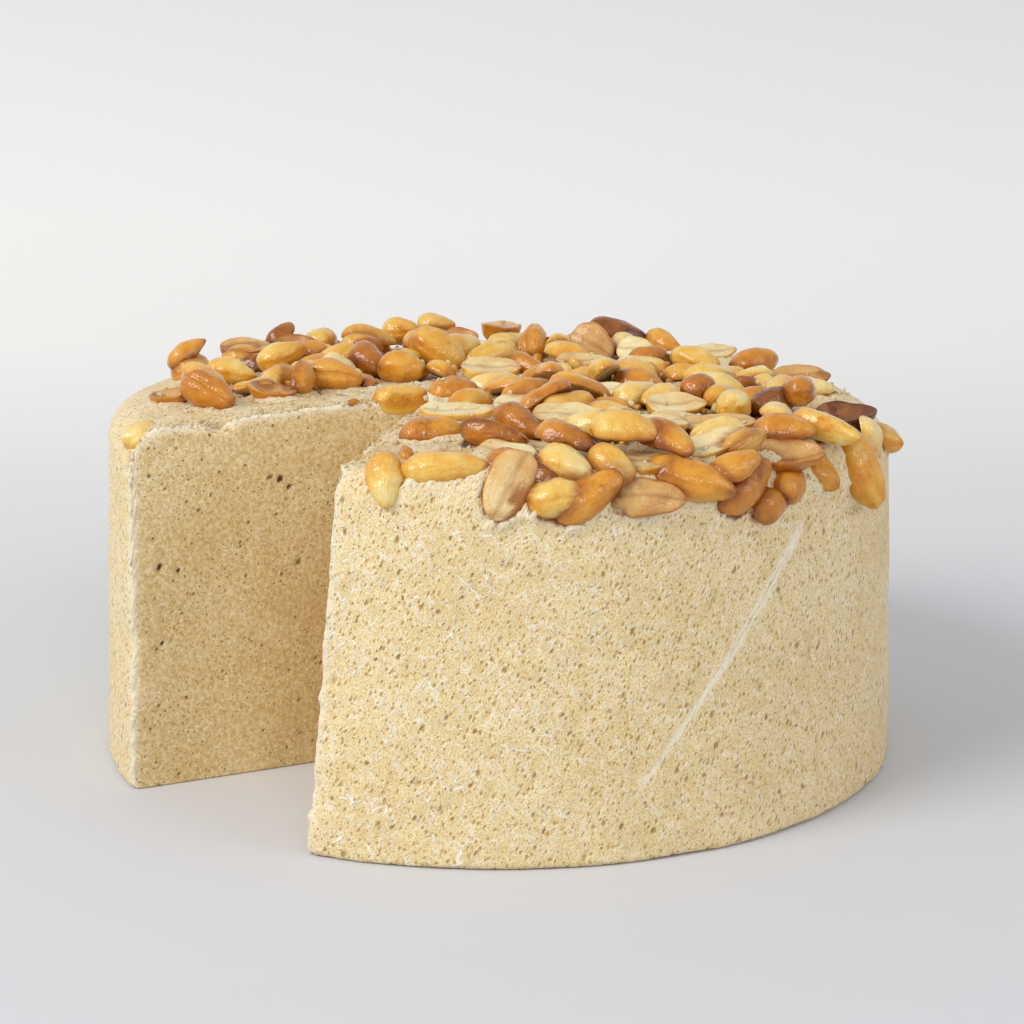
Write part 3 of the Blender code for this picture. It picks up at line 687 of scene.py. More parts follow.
def span_inside(points, ray, peanut):
    """Where a ray from each point enters and leaves a peanut, as distances, or NaN where it misses."""
    shape, turning, length, width, centre, _ = peanut
    depth = WHOLE_DEPTH if shape in WHOLE_SHAPES else HALF_DEPTH
    half_size = np.array([length, width, width * depth]) * MM / 2
    start = (points - centre) @ turning / half_size
    step = np.broadcast_to(ray, points.shape) @ turning / half_size
    a, b = (step**2).sum(-1), (start * step).sum(-1)
    room = b * b - a * ((start**2).sum(-1) - 1)
    root = np.sqrt(np.where(room > 0, room, np.nan))
    enter, leave = (-b - root) / a, (-b + root) / a
    if shape not in WHOLE_SHAPES:
        flat = (-FLAT_SIDE - start[:, 2]) / step[:, 2]
        enter = np.where(step[:, 2] > 0, np.maximum(enter, flat), enter)
        leave = np.where(step[:, 2] > 0, leave, np.minimum(leave, flat))
    hit = enter < leave
    return np.where(hit, enter, np.nan), np.where(hit, leave, np.nan)


def outside_of(peanut):
    """Points all over a peanut."""
    shape, turning, length, width, centre, _ = peanut
    ball = ball_points(CONTACT_RINGS, CONTACT_SIDES)
    return peanut_form(ball, shape, length, width) @ turning.T + centre


def tree_of(points):
    """A tree that finds the nearest of some points."""
    tree = kdtree.KDTree(len(points))
    for index, point in enumerate(points):
        tree.insert(point, index)
    tree.balance()
    return tree


print("highest peanut:", round(max(outside_of(nut)[:, 2].max() for nut in peanuts) / MM, 1), "mm")

# %% [markdown]
# ## The halva body
# Halva is sugar floss and nut paste kneaded and pressed into a mould: the wall is a dense skin full of
# small open pits that were drawn out along the pull of the floss, and the knife cuts show a finer,
# crumbly inside. A sculpted block with a Boolean cut would lose the flow of the grid at the edges. So
# the body is one grid: a closed outline that runs round the wall and along both cuts, carried up from
# the foot to the rim, and then inwards over the top under the peanuts. Each column keeps its place
# along the outline as its U and its way up as its V, both in metres, so that the skin's pattern can be
# drawn in real sizes.

# %% The body's outline and its rows
FRONT_COLUMNS = 286
BACK_COLUMNS = 227
CUT_A_COLUMNS = 95
CUT_B_COLUMNS = 88
FRONT_END = 100.0
FOOT_ROUNDING = 1.5 * MM
FOOT_FROM, FOOT_BLEND = 90 * MM, 12 * MM
FOOT_ROWS = (0.0, 0.2, 0.6)
WALL_ROWS = 100
RIM_ROWS = 9
TOP_ROWS = 11
TOP_REACH = 22 * MM
CENTRE_ROWS = 10
CENTRE_INSET = 34 * MM
CENTRE_SINK = 1.6 * MM
CENTRE_SHARE = 0.98

along_a = (Vector(CUT_A_AT_WALL) - Vector(CUT_CORNER)).normalized()
along_b = (Vector(CUT_B_AT_TOP) - Vector(CUT_CORNER)).normalized()
inward_a = Vector((along_a.y, -along_a.x))
inward_b = Vector((-along_b.y, along_b.x))


def meeting_point(point, along, other, other_along):
    """Where two lines in the plan meet."""
    across = along.x * other_along.y - along.y * other_along.x
    share = ((other.x - point.x) * other_along.y - (other.y - point.y) * other_along.x) / across
    return point + share * along


def on_wall(point, along, radius):
    """Where a cut's line leaves a circle round the axis."""
    half = point.dot(along)
    return point + along * (math.sqrt(half * half - point.length_squared + radius * radius) - half)


def outline(height, inset=0.0):
    """Points round the wheel, anticlockwise from the second cut, and back along the cuts."""
    share = height / WHEEL_HEIGHT
    on_b = Vector(CUT_B_AT_BASE).lerp(Vector(CUT_B_AT_TOP), share) + inward_b * inset
    on_a = Vector(CUT_CORNER) + inward_a * inset
    corner = meeting_point(on_a, along_a, on_b, along_b)
    radius = wall_radius(height) - inset
    start = on_wall(on_b, along_b, radius)
    end = on_wall(on_a, along_a, radius)
    front = np.linspace(angle_of(*start), FRONT_END, FRONT_COLUMNS)
    back = np.linspace(FRONT_END, angle_of(*end) + 360, BACK_COLUMNS + 1)[1:]
    angles = np.radians(np.concatenate([front, back]))
    wall = np.stack([radius * np.sin(angles), -radius * np.cos(angles)], -1)
    first_cut = np.linspace(end, corner, CUT_A_COLUMNS + 1)[1:]
    second_cut = np.linspace(corner, start, CUT_B_COLUMNS + 1)[1:-1]
    return np.concatenate([wall, first_cut, second_cut])


WALL_COLUMNS = FRONT_COLUMNS + BACK_COLUMNS
at_base, at_top, at_reach = outline(0.0), outline(WHEEL_HEIGHT), outline(WHEEL_HEIGHT, TOP_REACH)
columns = len(at_base)
depth, width = rim_at(angle_of(*at_top.T))
rim_start = top_height(*at_top.T) - depth
rim_start[WALL_COLUMNS:] = rounded_top(*at_top[WALL_COLUMNS:].T, wall_radius(WHEEL_HEIGHT))

rows = []
for share in (*FOOT_ROWS, *np.linspace(1, rim_start.max() / FOOT_ROUNDING, WALL_ROWS)):
    climb = (share - 1) / (rim_start.max() / FOOT_ROUNDING - 1)
    z = FOOT_ROUNDING * share if share < 1 else FOOT_ROUNDING + climb * (rim_start - FOOT_ROUNDING)
    plan = at_base + (at_top - at_base) * (np.broadcast_to(z, columns) / WHEEL_HEIGHT)[:, None]
    tucked = FOOT_ROUNDING * (1 - math.sqrt(1 - max(0.0, 1 - share) ** 2))
    near_wall = np.clip((np.hypot(*plan.T) - FOOT_FROM) / FOOT_BLEND, 0, 1)
    plan = plan * (1 - tucked * near_wall / WHEEL_RADIUS)[:, None]
    rows.append(np.column_stack([plan, np.broadcast_to(z, columns)]))
edge_plan = rows[-1][:, :2]
for step in range(1, RIM_ROWS + TOP_ROWS + 1):
    if step <= RIM_ROWS:
        inset = width * (1 - math.cos(math.radians(90 * step / RIM_ROWS)))
    else:
        inset = width + (TOP_REACH - width) * (step - RIM_ROWS) / TOP_ROWS
    plan = edge_plan + (at_reach - edge_plan) * (inset / TOP_REACH)[:, None]
    rows.append(np.column_stack([plan, rounded_top(*plan.T, wall_radius(rim_start.min()))]))

# The rest of the top, which the paste hides, closes in on one point, from which all of it can be seen.
centre = outline(WHEEL_HEIGHT, CENTRE_INSET)[WALL_COLUMNS - 1 + CUT_A_COLUMNS]
for share in np.linspace(0, CENTRE_SHARE, CENTRE_ROWS + 1)[1:]:
    plan = at_reach + (centre - at_reach) * share
    rows.append(np.column_stack([plan, top_height(*plan.T) - CENTRE_SINK]))
body_points = np.array(rows)
print("rows and columns:", body_points.shape[:2], "triangles:", 2 * (len(rows) - 1) * columns)

# %% [markdown]
# ## Mesh and UV map of the body
# The grid's rows and columns become faces, and the lengths along them become the UV map. An automatic
# unwrap would cut the skin into islands; here the map is known already, in real lengths. A face gets
# the material of the skin or that of a knife cut by its columns.

# %% The body as a mesh with its own UV map
SKIN, CUT_FACE = 0, 1
FLAT_SKIN_PLACE = (1.0, 1.0)

row_count = len(rows)
steps = np.linalg.norm(np.diff(at_top, axis=0, append=at_top[:1]), axis=1)
u_of = np.concatenate([[0.0], np.cumsum(steps)])
climbs = np.linalg.norm(np.diff(body_points, axis=0), axis=2)
v_of = np.concatenate([np.zeros((1, columns)), np.cumsum(climbs, axis=0)])
v_of = np.column_stack([v_of, v_of[:, :1]])

row, column = np.meshgrid(np.arange(row_count - 1), np.arange(columns), indexing="ij")
row, column = row.ravel(), column.ravel()
after = (column + 1) % columns
quads = np.column_stack([
    row * columns + column,
    row * columns + after,
    (row + 1) * columns + after,
    (row + 1) * columns + column,
])
base_face = list(range(columns))[::-1]
top_face = list(range((row_count - 1) * columns, row_count * columns))
body_mesh = bpy.data.meshes.new("halva_body")
body_mesh.from_pydata(body_points.reshape(-1, 3), [], quads.tolist() + [base_face, top_face])

wall_top_row = len(FOOT_ROWS) + WALL_ROWS - 1
is_cut = (column >= WALL_COLUMNS - 1) & (row < wall_top_row)
body_mesh.polygons.foreach_set("material_index", np.append(np.where(is_cut, CUT_FACE, SKIN), [SKIN, SKIN]))
corner_u = u_of[np.column_stack([column, column + 1, column + 1, column])]
corner_v = v_of[
    np.column_stack([row, row, row + 1, row + 1]), np.column_stack([column, column + 1, column + 1, column])
]
corner_uv = np.stack([corner_u, corner_v], -1)

# Where the top closes in on its middle, the skin is laid flat, far from the strands of the wall.
plan_uv = body_points.reshape(-1, 3)[:, :2] + FLAT_SKIN_PLACE
closing = row >= row_count - 1 - CENTRE_ROWS
corner_uv[closing] = plan_uv[quads[closing]]
uv = np.concatenate([corner_uv.reshape(-1, 2), plan_uv[base_face + top_face]])
body_mesh.uv_layers.new(name="skin").uv.foreach_set("vector", uv.astype(np.float32).ravel())
print("wall length:", round(u_of[WALL_COLUMNS - 1] / MM), "mm round the outside")

# %% [markdown]
# ## The body's relief
# No part of a pressed block is truly flat. Broad dents, middling lumps and fine crumbs are three sizes
# of smooth noise along the surface's normals; the edges of the cuts crumble more, and one of them has a
# notch. Every cell adds to one row of shifts, and the points are moved once, at the end.

# %% Lumps and crumbled edges
# size and height of the lumps in mm
RELIEF = ((22.0, 0.40), (5.0, 0.22), (1.8, 0.10))
KNIFE_FLATNESS = 0.3
CRUMBLE_DEPTH = 0.8 * MM
CRUMBLE_SIZE = 2.6 * MM
CRUMBLE_REACH = 1.6 * MM
CRUMBLE_LOSS = 0.55
EDGE_REACH = 2.6 * MM
CHUNK_DEPTH = 1.3 * MM
CHUNK_SIZE = 8 * MM
CHUNK_LIMIT = 0.12
NOTCH_FROM_CORNER = 59 * MM
NOTCH_WIDTH = 2.6 * MM
NOTCH_DEPTH = 2.2 * MM


def lumps_at(points, size):
    """Smooth noise from -1 to 1 at each point, in lumps of a size."""
    return np.array([noise.noise(Vector(point) / size) for point in points])


normals = np.zeros(row_count * columns * 3, np.float32)
body_mesh.vertex_normals.foreach_get("vector", normals)
normals = normals.reshape(-1, 3)
flat_points = body_points.reshape(-1, 3)
shift = np.zeros(len(flat_points))
for size, height in RELIEF:
    shift += height * MM * lumps_at(flat_points, size * MM)
knife_flat = (np.tile(np.arange(columns), row_count) > WALL_COLUMNS) & (flat_points[:, 2] < rim_start.min())
shift[knife_flat] *= KNIFE_FLATNESS
outline_u = u_of[:columns]
wall_end, corner_at = u_of[WALL_COLUMNS - 1], u_of[WALL_COLUMNS - 1 + CUT_A_COLUMNS]
to_edge = np.minimum.reduce([np.abs(outline_u - place) for place in (u_of[0], wall_end, u_of[-1])])
to_top = np.abs(v_of[:, :columns] - v_of[wall_top_row, :columns])
to_top[:, :WALL_COLUMNS] = WHEEL_HEIGHT
nearest = np.minimum(to_edge, to_top)
on_edge = np.exp(-((nearest / CRUMBLE_REACH) ** 2)).ravel()
shift += CRUMBLE_DEPTH * on_edge * (np.abs(lumps_at(flat_points, CRUMBLE_SIZE)) - CRUMBLE_LOSS)
near_edge = np.exp(-((nearest / EDGE_REACH) ** 2)).ravel()
shift -= CHUNK_DEPTH * near_edge * np.clip(lumps_at(flat_points, CHUNK_SIZE) - CHUNK_LIMIT, 0, 1)
along_edge = (corner_at - outline_u - NOTCH_FROM_CORNER) / NOTCH_WIDTH
notch = np.exp(-(along_edge**2) - (to_top / NOTCH_WIDTH) ** 2).ravel()
shift -= NOTCH_DEPTH * notch

# Near an edge the halva wears along both of its faces, so that its skin never folds over.
normal_grid = normals.reshape(row_count, columns, 3)
nearest_edge = np.where(np.abs(outline_u - wall_end) <= to_edge, WALL_COLUMNS - 1, 0)
wear = normal_grid.copy()
for distance, edge_normals in (
    (to_top, normal_grid[wall_top_row][None]),
    (to_edge[None], normal_grid[:, nearest_edge]),
):
    share = np.exp(-((distance / EDGE_REACH) ** 2))[..., None]
    wear += share * (math.sqrt(2) * edge_normals - normal_grid)
wear = wear.reshape(-1, 3)
print("deepest crumbled spot:", round(shift.min() / MM, 2), "mm")

# %% [markdown]
# ## Pits
# The largest pits are real hollows in the mesh: long ovals that lean to the right, as the floss was drawn,
# deeper in their middle. How deep a point lies in a pit is kept as an attribute, so that the colour can
# follow it with painted shade, darker where the pit is deeper. A few show so well that they have a place of
# their own, the rest are drawn.

# %% Pits in the mesh
PIT_LEAN = 26.0
LEAN_SPREAD = 14.0
PIT_DEPTH = 0.6 * MM
PIT_SEARCH = 4 * MM
PITS_ON_WALL = 12
PITS_ON_CUT = 3
CROWDING = 1.25

# Height, half length and half width of the drawn pits in mm, and how far they lie along the cuts.
WALL_PITS = ((3, 82), (0.9, 2.0), (0.5, 0.9))
CUT_PITS = ((8, 84), (0.8, 1.3), (0.6, 0.9))
CUT_PIT_PLACES = (4, 80)

# Pits that show best: along the outline, height, half length and half width in mm. On the wall they are
# measured from the second cut, on the first cut from the corner where the cuts meet.
WALL_MARKS = (
    (104.5, 38.0, 1.5, 0.8),
    (90.0, 61.0, 1.6, 0.9),
    (24.5, 21.0, 1.3, 0.9),
    (17.5, 15.5, 1.5, 1.0),
    (111.5, 77.0, 1.4, 0.7),
    (60.0, 30.0, 1.2, 0.8),
    (70.0, 52.0, 1.1, 0.8),
)
CUT_MARKS = (
    (42.1, 76.5, 1.3, 1.0),
    (44.6, 77.4, 0.9, 0.7),
    (74.4, 57.3, 1.3, 0.8),
    (69.3, 55.5, 0.9, 0.7),
    (35.8, 54.4, 1.0, 0.7),
)

draw = np.random.default_rng(7)
grain_u = np.tile(outline_u, row_count)
grain_v = v_of[:, :columns].ravel()
pit = np.zeros(len(flat_points))
pits = []
for number in range(PITS_ON_WALL + PITS_ON_CUT):
    if number < PITS_ON_WALL:
        u = u_of[FRONT_COLUMNS - 1] * draw.random() ** CROWDING
        ranges = WALL_PITS
    else:
        u = wall_end + draw.uniform(*CUT_PIT_PLACES) * MM
        ranges = CUT_PITS
    v, long, wide = [draw.uniform(*limits) for limits in ranges]
    pits.append((u, v * MM, long, wide))
pits += [(u * MM, v * MM, long, wide) for u, v, long, wide in WALL_MARKS]
pits += [(corner_at - from_corner * MM, v * MM, long, wide) for from_corner, v, long, wide in CUT_MARKS]
for u, v, long, wide in pits:
    lean = math.radians(PIT_LEAN + draw.uniform(-LEAN_SPREAD, LEAN_SPREAD))
    near = np.nonzero((np.abs(grain_u - u) < PIT_SEARCH) & (np.abs(grain_v - v) < PIT_SEARCH))[0]
    du, dv = (grain_u[near] - u) / MM, (grain_v[near] - v) / MM
    up = (du * math.sin(lean) + dv * math.cos(lean)) / long
    side = (du * math.cos(lean) - dv * math.sin(lean)) / wide
    pit[near] = np.maximum(pit[near], np.exp(-(up**2 + side**2)))
shift -= PIT_DEPTH * pit
print("pits:", len(pits))

# %% [markdown]
# ## Lips, syrup and painted shade
# The halva was squeezed up a little against every peanut in the rim, and where the glaze ran down between
# the peanuts of the right half, it soaked the halva; the same amber darkening next to the peanuts also
# stands in as painted shade of the gaps. Both follow the distance to the nearest peanut, and both are kept
# as attributes.

# %% Lips, and syrup with painted shade, round the peanuts
LIP_RISE = 1.5 * MM
LIP_REACH = 1.7 * MM
LIP_LUMPS = 3 * MM
LIPS_ABOVE = 74 * MM
COVER = 4.0 * MM
SYRUP_AND_SHADE_REACH = 1.3 * MM
SYRUP_PATCHES = 9 * MM
SYRUP_WITHIN = 12 * MM

lip, syrup_and_shade = np.zeros(len(flat_points)), np.zeros(len(flat_points))
high = np.nonzero(flat_points[:, 2] > LIPS_ABOVE)[0]
kernel_tree = tree_of(np.concatenate([outside_of(nut) for nut in peanuts]))
gaps = np.array([kernel_tree.find(point)[2] for point in flat_points[high]])
uneven = np.clip(0.75 + lumps_at(flat_points[high], LIP_LUMPS), 0, 1.3)
lip[high] = np.exp(-((gaps / LIP_REACH) ** 2)) * uneven
shift += LIP_RISE * lip
shift[-CENTRE_ROWS * columns:] = 0.0
flat_points = flat_points + wear * shift[:, None]

# Where a thin skin of halva would lie over a peanut, it is pressed back to the middle of the peanut.
sunk = [
    (shape, peanut_turn(turn, pitch, roll), length, width, np.array([x, y, height]) * MM, roast)
    for shape, x, y, turn, pitch, roll, length, width, height, roast in SUNK_PEANUTS
]
pressed = 0
for nut in peanuts + sunk[:1]:
    near = np.nonzero(np.linalg.norm(flat_points - nut[4], axis=1) < nut[2] * MM)[0]
    if len(near):
        enter, leave = span_inside(flat_points[near], -normals[near], nut)
        push = np.where((enter > -0.3 * MM) & (enter < COVER), (enter + leave) / 2, 0.0)
        flat_points[near] -= normals[near] * push[:, None]
        pressed += np.count_nonzero(push)
flat_points[:columns, 2] = 0.0
body_mesh.vertices.foreach_set("co", flat_points.astype(np.float32).ravel())

# The amber in the gaps next to the peanuts is partly syrup and partly painted shade of those gaps.
patchy = np.clip(0.55 + 1.6 * lumps_at(flat_points[high], SYRUP_PATCHES), 0, 1)
runs = np.clip(flat_points[high, 0] / SYRUP_WITHIN, 0, 1) * patchy
syrup_and_shade[high] = np.exp(-((gaps / SYRUP_AND_SHADE_REACH) ** 2)) * runs
for label, values in (("pit", pit), ("edge", on_edge), ("lip", lip), ("syrup_and_shade", syrup_and_shade)):
    body_mesh.attributes.new(label, "FLOAT", "POINT").data.foreach_set("value", values.astype(np.float32))
body_mesh.shade_smooth()
body_mesh.update()
halva_body = bpy.data.objects.new("halva_body", body_mesh)
bpy.context.collection.objects.link(halva_body)
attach(halva_body, "root")
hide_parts("halva_wheel")
print("highest lip:", round(LIP_RISE * lip.max() / MM, 2), "mm; points pressed back:", pressed)

# %% [markdown]
# ## Patterns of halva
# The surfaces of halva are full of small things: pits, blotches, threads, dragged strands. Each is a
# pattern that is 1 where it shows and 0 elsewhere, so that colour and relief can both follow it. They
# could be images, but cells and noise on the UV map give them at their real sizes: a Mapping node counts
# the map in cells, turned the way the pattern runs.

# %% Pits, blotches and threads
SOFT = {"interpolation_type": "SMOOTHSTEP"}
FLAT_PATTERN = {"noise_dimensions": "2D"}
MIXED = {"data_type": "RGBA"}
TINTED = {"data_type": "RGBA", "blend_type": "MULTIPLY"}


def between(value, low, high, bottom=0.0, top=1.0):
    """Sockets of a Map Range node between two limits; it falls where the first is the greater."""
    return {"Value": value, "From Min": low, "From Max": high, "To Min": bottom, "To Max": top}


def in_cells(coordinates, cell, turn, foot=(0.0, 0.0)):
    """Sockets of a Mapping node that counts in cells of a real size."""
    return {"Vector": coordinates, "Location": (*foot, 0.0), "Rotation": turn, "Scale": (*cell, 1.0)}


def round_pits(tree, coordinates, cell, turn, widest, empty):
    """Pits in a cell pattern: a random value of each cell sets its pit's width; a share is empty."""
    spot = add_node(tree, "ShaderNodeMapping", in_cells(coordinates, cell, turn), vector_type="TEXTURE")
    cells = add_node(tree, "ShaderNodeTexVoronoi", {"Vector": spot, "Scale": 1.0}, voronoi_dimensions="2D")
    chance = add_node(tree, "ShaderNodeSeparateColor", {"Color": cells.outputs["Color"]}).outputs["Red"]
    reach = add_node(tree, "ShaderNodeMapRange", between(chance, empty, 1.0, 0.01, widest))
    shrunk = add_node(tree, "ShaderNodeMath", {0: cells.outputs["Distance"], 1: reach}, operation="DIVIDE")
    return add_node(tree, "ShaderNodeMapRange", between(shrunk, 1.0, 0.1), **SOFT)


def blotches(tree, coordinates, cell, turn, low, high, detail=2.0):
    """Uneven blotches: the peaks of a noise that is stretched to cells of a real size."""
    spot = add_node(tree, "ShaderNodeMapping", in_cells(coordinates, cell, turn), vector_type="TEXTURE")
    peaks = {"Vector": spot, "Scale": 1.0, "Detail": detail}
    peaks = add_node(tree, "ShaderNodeTexNoise", peaks, **FLAT_PATTERN)
    return add_node(tree, "ShaderNodeMapRange", between(peaks.outputs["Fac"], low, high), **SOFT)


def web(tree, coordinates, cell, turn, thickness):
    """A net of threads: 1 on the edges of a cell pattern, 0 inside its cells."""
    spot = add_node(tree, "ShaderNodeMapping", in_cells(coordinates, cell, turn), vector_type="TEXTURE")
    threads = add_node(
        tree,
        "ShaderNodeTexVoronoi",
        {"Vector": spot, "Scale": 1.0},
        voronoi_dimensions="2D",
        feature="DISTANCE_TO_EDGE",
    )
    return add_node(tree, "ShaderNodeMapRange", between(threads, thickness, thickness / 10), **SOFT)


def only_where(tree, pattern, *others):
    """A pattern, left only where all the others show too."""
    for other in others:
        pattern = add_node(tree, "ShaderNodeMath", {0: pattern, 1: other}, operation="MULTIPLY")
    return pattern


def drift(tree, coordinates, scale, detail, reach, **settings):
    """A smooth random push of a point: a noise's colour less its middle grey, times a reach."""
    push = {"Vector": coordinates, "Scale": scale, "Detail": detail}
    push = add_node(tree, "ShaderNodeTexNoise", push, **settings).outputs["Color"]
    push = add_node(tree, "ShaderNodeVectorMath", {0: push, 1: (0.5, 0.5, 0.5)}, operation="SUBTRACT")
    return add_node(tree, "ShaderNodeVectorMath", {0: push, "Scale": reach}, operation="SCALE")


print("a Map Range node from 1 down to 0.1:", between(0.5, 1.0, 0.1))

# %% [markdown]
# ## From patterns to colour and relief
# Each finish of halva is built the same way: grains of two colours, then coloured patterns laid over
# them one by one, and a height that adds up the same patterns for the bump. Small functions say this
# once, so that a finish reads as a list of what lies on it.

# %% Colour and relief from patterns


def sandy(tree, grains, grain_colours, clouds, cloud_colours):
    """Grains of two colours, tinted by wide clouds of two more."""
    sand = add_node(tree, "ShaderNodeValToRGB", {"Fac": grains}, stops=grain_colours)
    tint = add_node(tree, "ShaderNodeValToRGB", {"Fac": clouds}, stops=cloud_colours)
    return add_node(tree, "ShaderNodeMix", {0: 1.0, 6: sand, 7: tint}, **TINTED)


def layered(tree, colour, layers):
    """Lays colours over a base, each where its pattern shows and as strongly as its share says."""
    for pattern, share, hex_colour in layers:
        shown = add_node(tree, "ShaderNodeMath", {0: pattern, 1: share}, operation="MULTIPLY")
        colour = add_node(tree, "ShaderNodeMix", {0: shown, 6: colour, 7: linear(hex_colour)}, **MIXED)
    return colour


def raised(tree, layers):
    """Adds up patterns, each as high as its number says in mm; a negative one is a hollow."""
    height = 0.0
    for pattern, rise in layers:
        height = add_node(tree, "ShaderNodeMath", {0: pattern, 1: rise, 2: height}, operation="MULTIPLY_ADD")
    return height


def soaked_in_syrup(tree, colour, soaked_and_shaded):
    """Turns a colour amber, and brown where the mask is highest: syrup that soaked in, and painted shade in
    the gaps beside the peanuts.
    """
    amber = add_node(tree, "ShaderNodeValToRGB", {"Fac": soaked_and_shaded}, stops=((0.1, "#CFA363"), (1.0, "#7A4412")))
    return add_node(tree, "ShaderNodeMix", {0: soaked_and_shaded, 6: colour, 7: amber}, **MIXED)


print("amber as linear light:", [round(part, 3) for part in linear("#CFA363")])

# %% [markdown]
# ## The skin of the halva
# The wall shows a sandy skin. Small pits, ochre inside and darkened further as painted shade of the hollows,
# are drawn out along one slanting direction at three sizes; between them lies fine grit, finer than the
# picture could show, so it is drawn as coarse as it needs to be. Near the second cut, pale threads of sugar
# floss run over the skin, and a scar and two strands cross the front.

# %% Pits and grit of the skin
# Cells that the patterns count in, across and along the floss.
SKIN_LEAN = 20.0
SPECKS = (0.75 * MM, 1.3 * MM)
SMALL_PITS = (1.25 * MM, 2.5 * MM)
MIDDLE_PITS = (3.9 * MM, 6.6 * MM)
WIDE_PATCHES = (4.0 * MM, 9.0 * MM)
FIBRES = (1.5 * MM, 5.0 * MM)
THREADS = (3.0 * MM, 9.0 * MM)

skin = new_material("pressed_halva_skin")
tree = skin.node_tree
uv = add_node(tree, "ShaderNodeUVMap", uv_map="skin").outputs["UV"]
place = add_node(tree, "ShaderNodeTexCoord").outputs["Object"]
lean = (0.0, 0.0, -math.radians(SKIN_LEAN))
push = drift(tree, uv, 0.33 / MM, 2.0, 1.3 * MM, **FLAT_PATTERN)
warped = add_node(tree, "ShaderNodeVectorMath", {0: uv, 1: push}, operation="ADD")
specks = round_pits(tree, warped, SPECKS, lean, 0.44, 0.15)
small = round_pits(tree, warped, SMALL_PITS, lean, 0.38, 0.15)
middle = round_pits(tree, warped, MIDDLE_PITS, lean, 0.20, 0.55)
wide = blotches(tree, warped, WIDE_PATCHES, lean, 0.56, 0.76, 1.0)
grit = {"Vector": place, "Scale": 2.2 / MM, "Detail": 3.0, "Roughness": 0.7}
grit = add_node(tree, "ShaderNodeTexNoise", grit)
cloud = add_node(tree, "ShaderNodeTexNoise", {"Vector": place, "Scale": 0.045 / MM, "Detail": 2.0})

# Painted glints: near-white colour on the lower right brim of some pits, in patches, painted where the
# window's reflection would show.
brim = add_node(tree, "ShaderNodeVectorMath", {0: warped, 1: (-0.35 * MM, 0.55 * MM, 0.0)}, operation="ADD")
painted_glints = round_pits(tree, brim, SMALL_PITS, lean, 0.19, 0.5)
painted_glints = only_where(tree, painted_glints, blotches(tree, uv, (16 * MM, 22 * MM), lean, 0.42, 0.58))
print("nodes for pits and grit:", len(tree.nodes))

# %% [markdown]
# ## Floss and strands
# Halva is pulled from threads of sugar, and some of them show on the skin: a loose net of pale threads
# close to the second cut, fine fibres between the pits, and three strands that were dragged over the
# wall. Hair curves would stand out from the surface, but these threads lie in it, so they are patterns.

# %% Floss, scar and strands on the skin
# Strands dragged over the skin: foot along and up, length, lean in degrees, half widths in mm below and
# above. The first is the scar.
STRANDS = (
    ((69.4 * MM, 12.6 * MM), 78 * MM, 36.7, 1.1, 2.5),
    ((92.5 * MM, 45.8 * MM), 36 * MM, 38.5, 0.3, 0.5),
    ((113.0 * MM, 2.5 * MM), 5 * MM, -20.0, 0.3, 0.3),
)
STREAKS = (0.7 * MM, 12 * MM)


def strand(tree, coordinates, foot, length, lean, thin, thick):
    """A strand of floss: 1 on its line, wider towards its upper end, streaky, fading at both ends."""
    turn = (0.0, 0.0, -math.radians(lean))
    long = length / MM
    spot = in_cells(coordinates, (MM, MM), turn, foot)
    spot = add_node(tree, "ShaderNodeMapping", spot, vector_type="TEXTURE")
    spot = add_node(tree, "ShaderNodeSeparateXYZ", {"Vector": spot})
    up = spot.outputs["Y"]
    aside = add_node(tree, "ShaderNodeMath", {0: spot.outputs["X"]}, operation="ABSOLUTE")
    spread = add_node(tree, "ShaderNodeMapRange", between(up, 0.0, long, thin, thick))
    aside = add_node(tree, "ShaderNodeMath", {0: aside, 1: spread}, operation="DIVIDE")
    return only_where(
        tree,
        add_node(tree, "ShaderNodeMapRange", between(aside, 1.0, 0.2), **SOFT),
        blotches(tree, coordinates, STREAKS, turn, 0.22, 0.52),
        add_node(tree, "ShaderNodeMapRange", between(up, -2.0, long / 5), **SOFT),
        add_node(tree, "ShaderNodeMapRange", between(up, long + 3, long - 4), **SOFT),
    )


scar = strand(tree, warped, *STRANDS[0])
for row in STRANDS[1:]:
    scar = add_node(tree, "ShaderNodeMath", {0: scar, 1: strand(tree, warped, *row)}, operation="MAXIMUM")

# The floss: a net of pale threads, drawn out upwards and broken up, close to the second cut.
push = drift(tree, uv, 0.16 / MM, 2.0, 5 * MM, **FLAT_PATTERN)
net_place = add_node(tree, "ShaderNodeVectorMath", {0: uv, 1: push}, operation="ADD")
along_wall = add_node(tree, "ShaderNodeSeparateXYZ", {"Vector": uv}).outputs["X"]
near_cut = between(along_wall, 95 * MM, 25 * MM, 0.06, 1.0)
near_cut = add_node(tree, "ShaderNodeMapRange", near_cut, **SOFT)
breaks = blotches(tree, uv, (7 * MM, 9 * MM), (0.0, 0.0, 0.0), 0.40, 0.66)
net = only_where(tree, web(tree, net_place, THREADS, (0.0, 0.0, -0.12), 0.05), breaks, near_cut)
breaks = blotches(tree, uv, (3 * MM, 5 * MM), (0.0, 0.0, 0.7), 0.36, 0.66)
fibres = only_where(tree, web(tree, net_place, FIBRES, lean, 0.16), breaks)
print("with floss and strands:", len(tree.nodes))

# %% [markdown]
# ## The skin's finish
# The patterns now get their colours and depths. Halva is opaque and dry, so it is rough all over, with
# a lower roughness only where oil or syrup gathers.

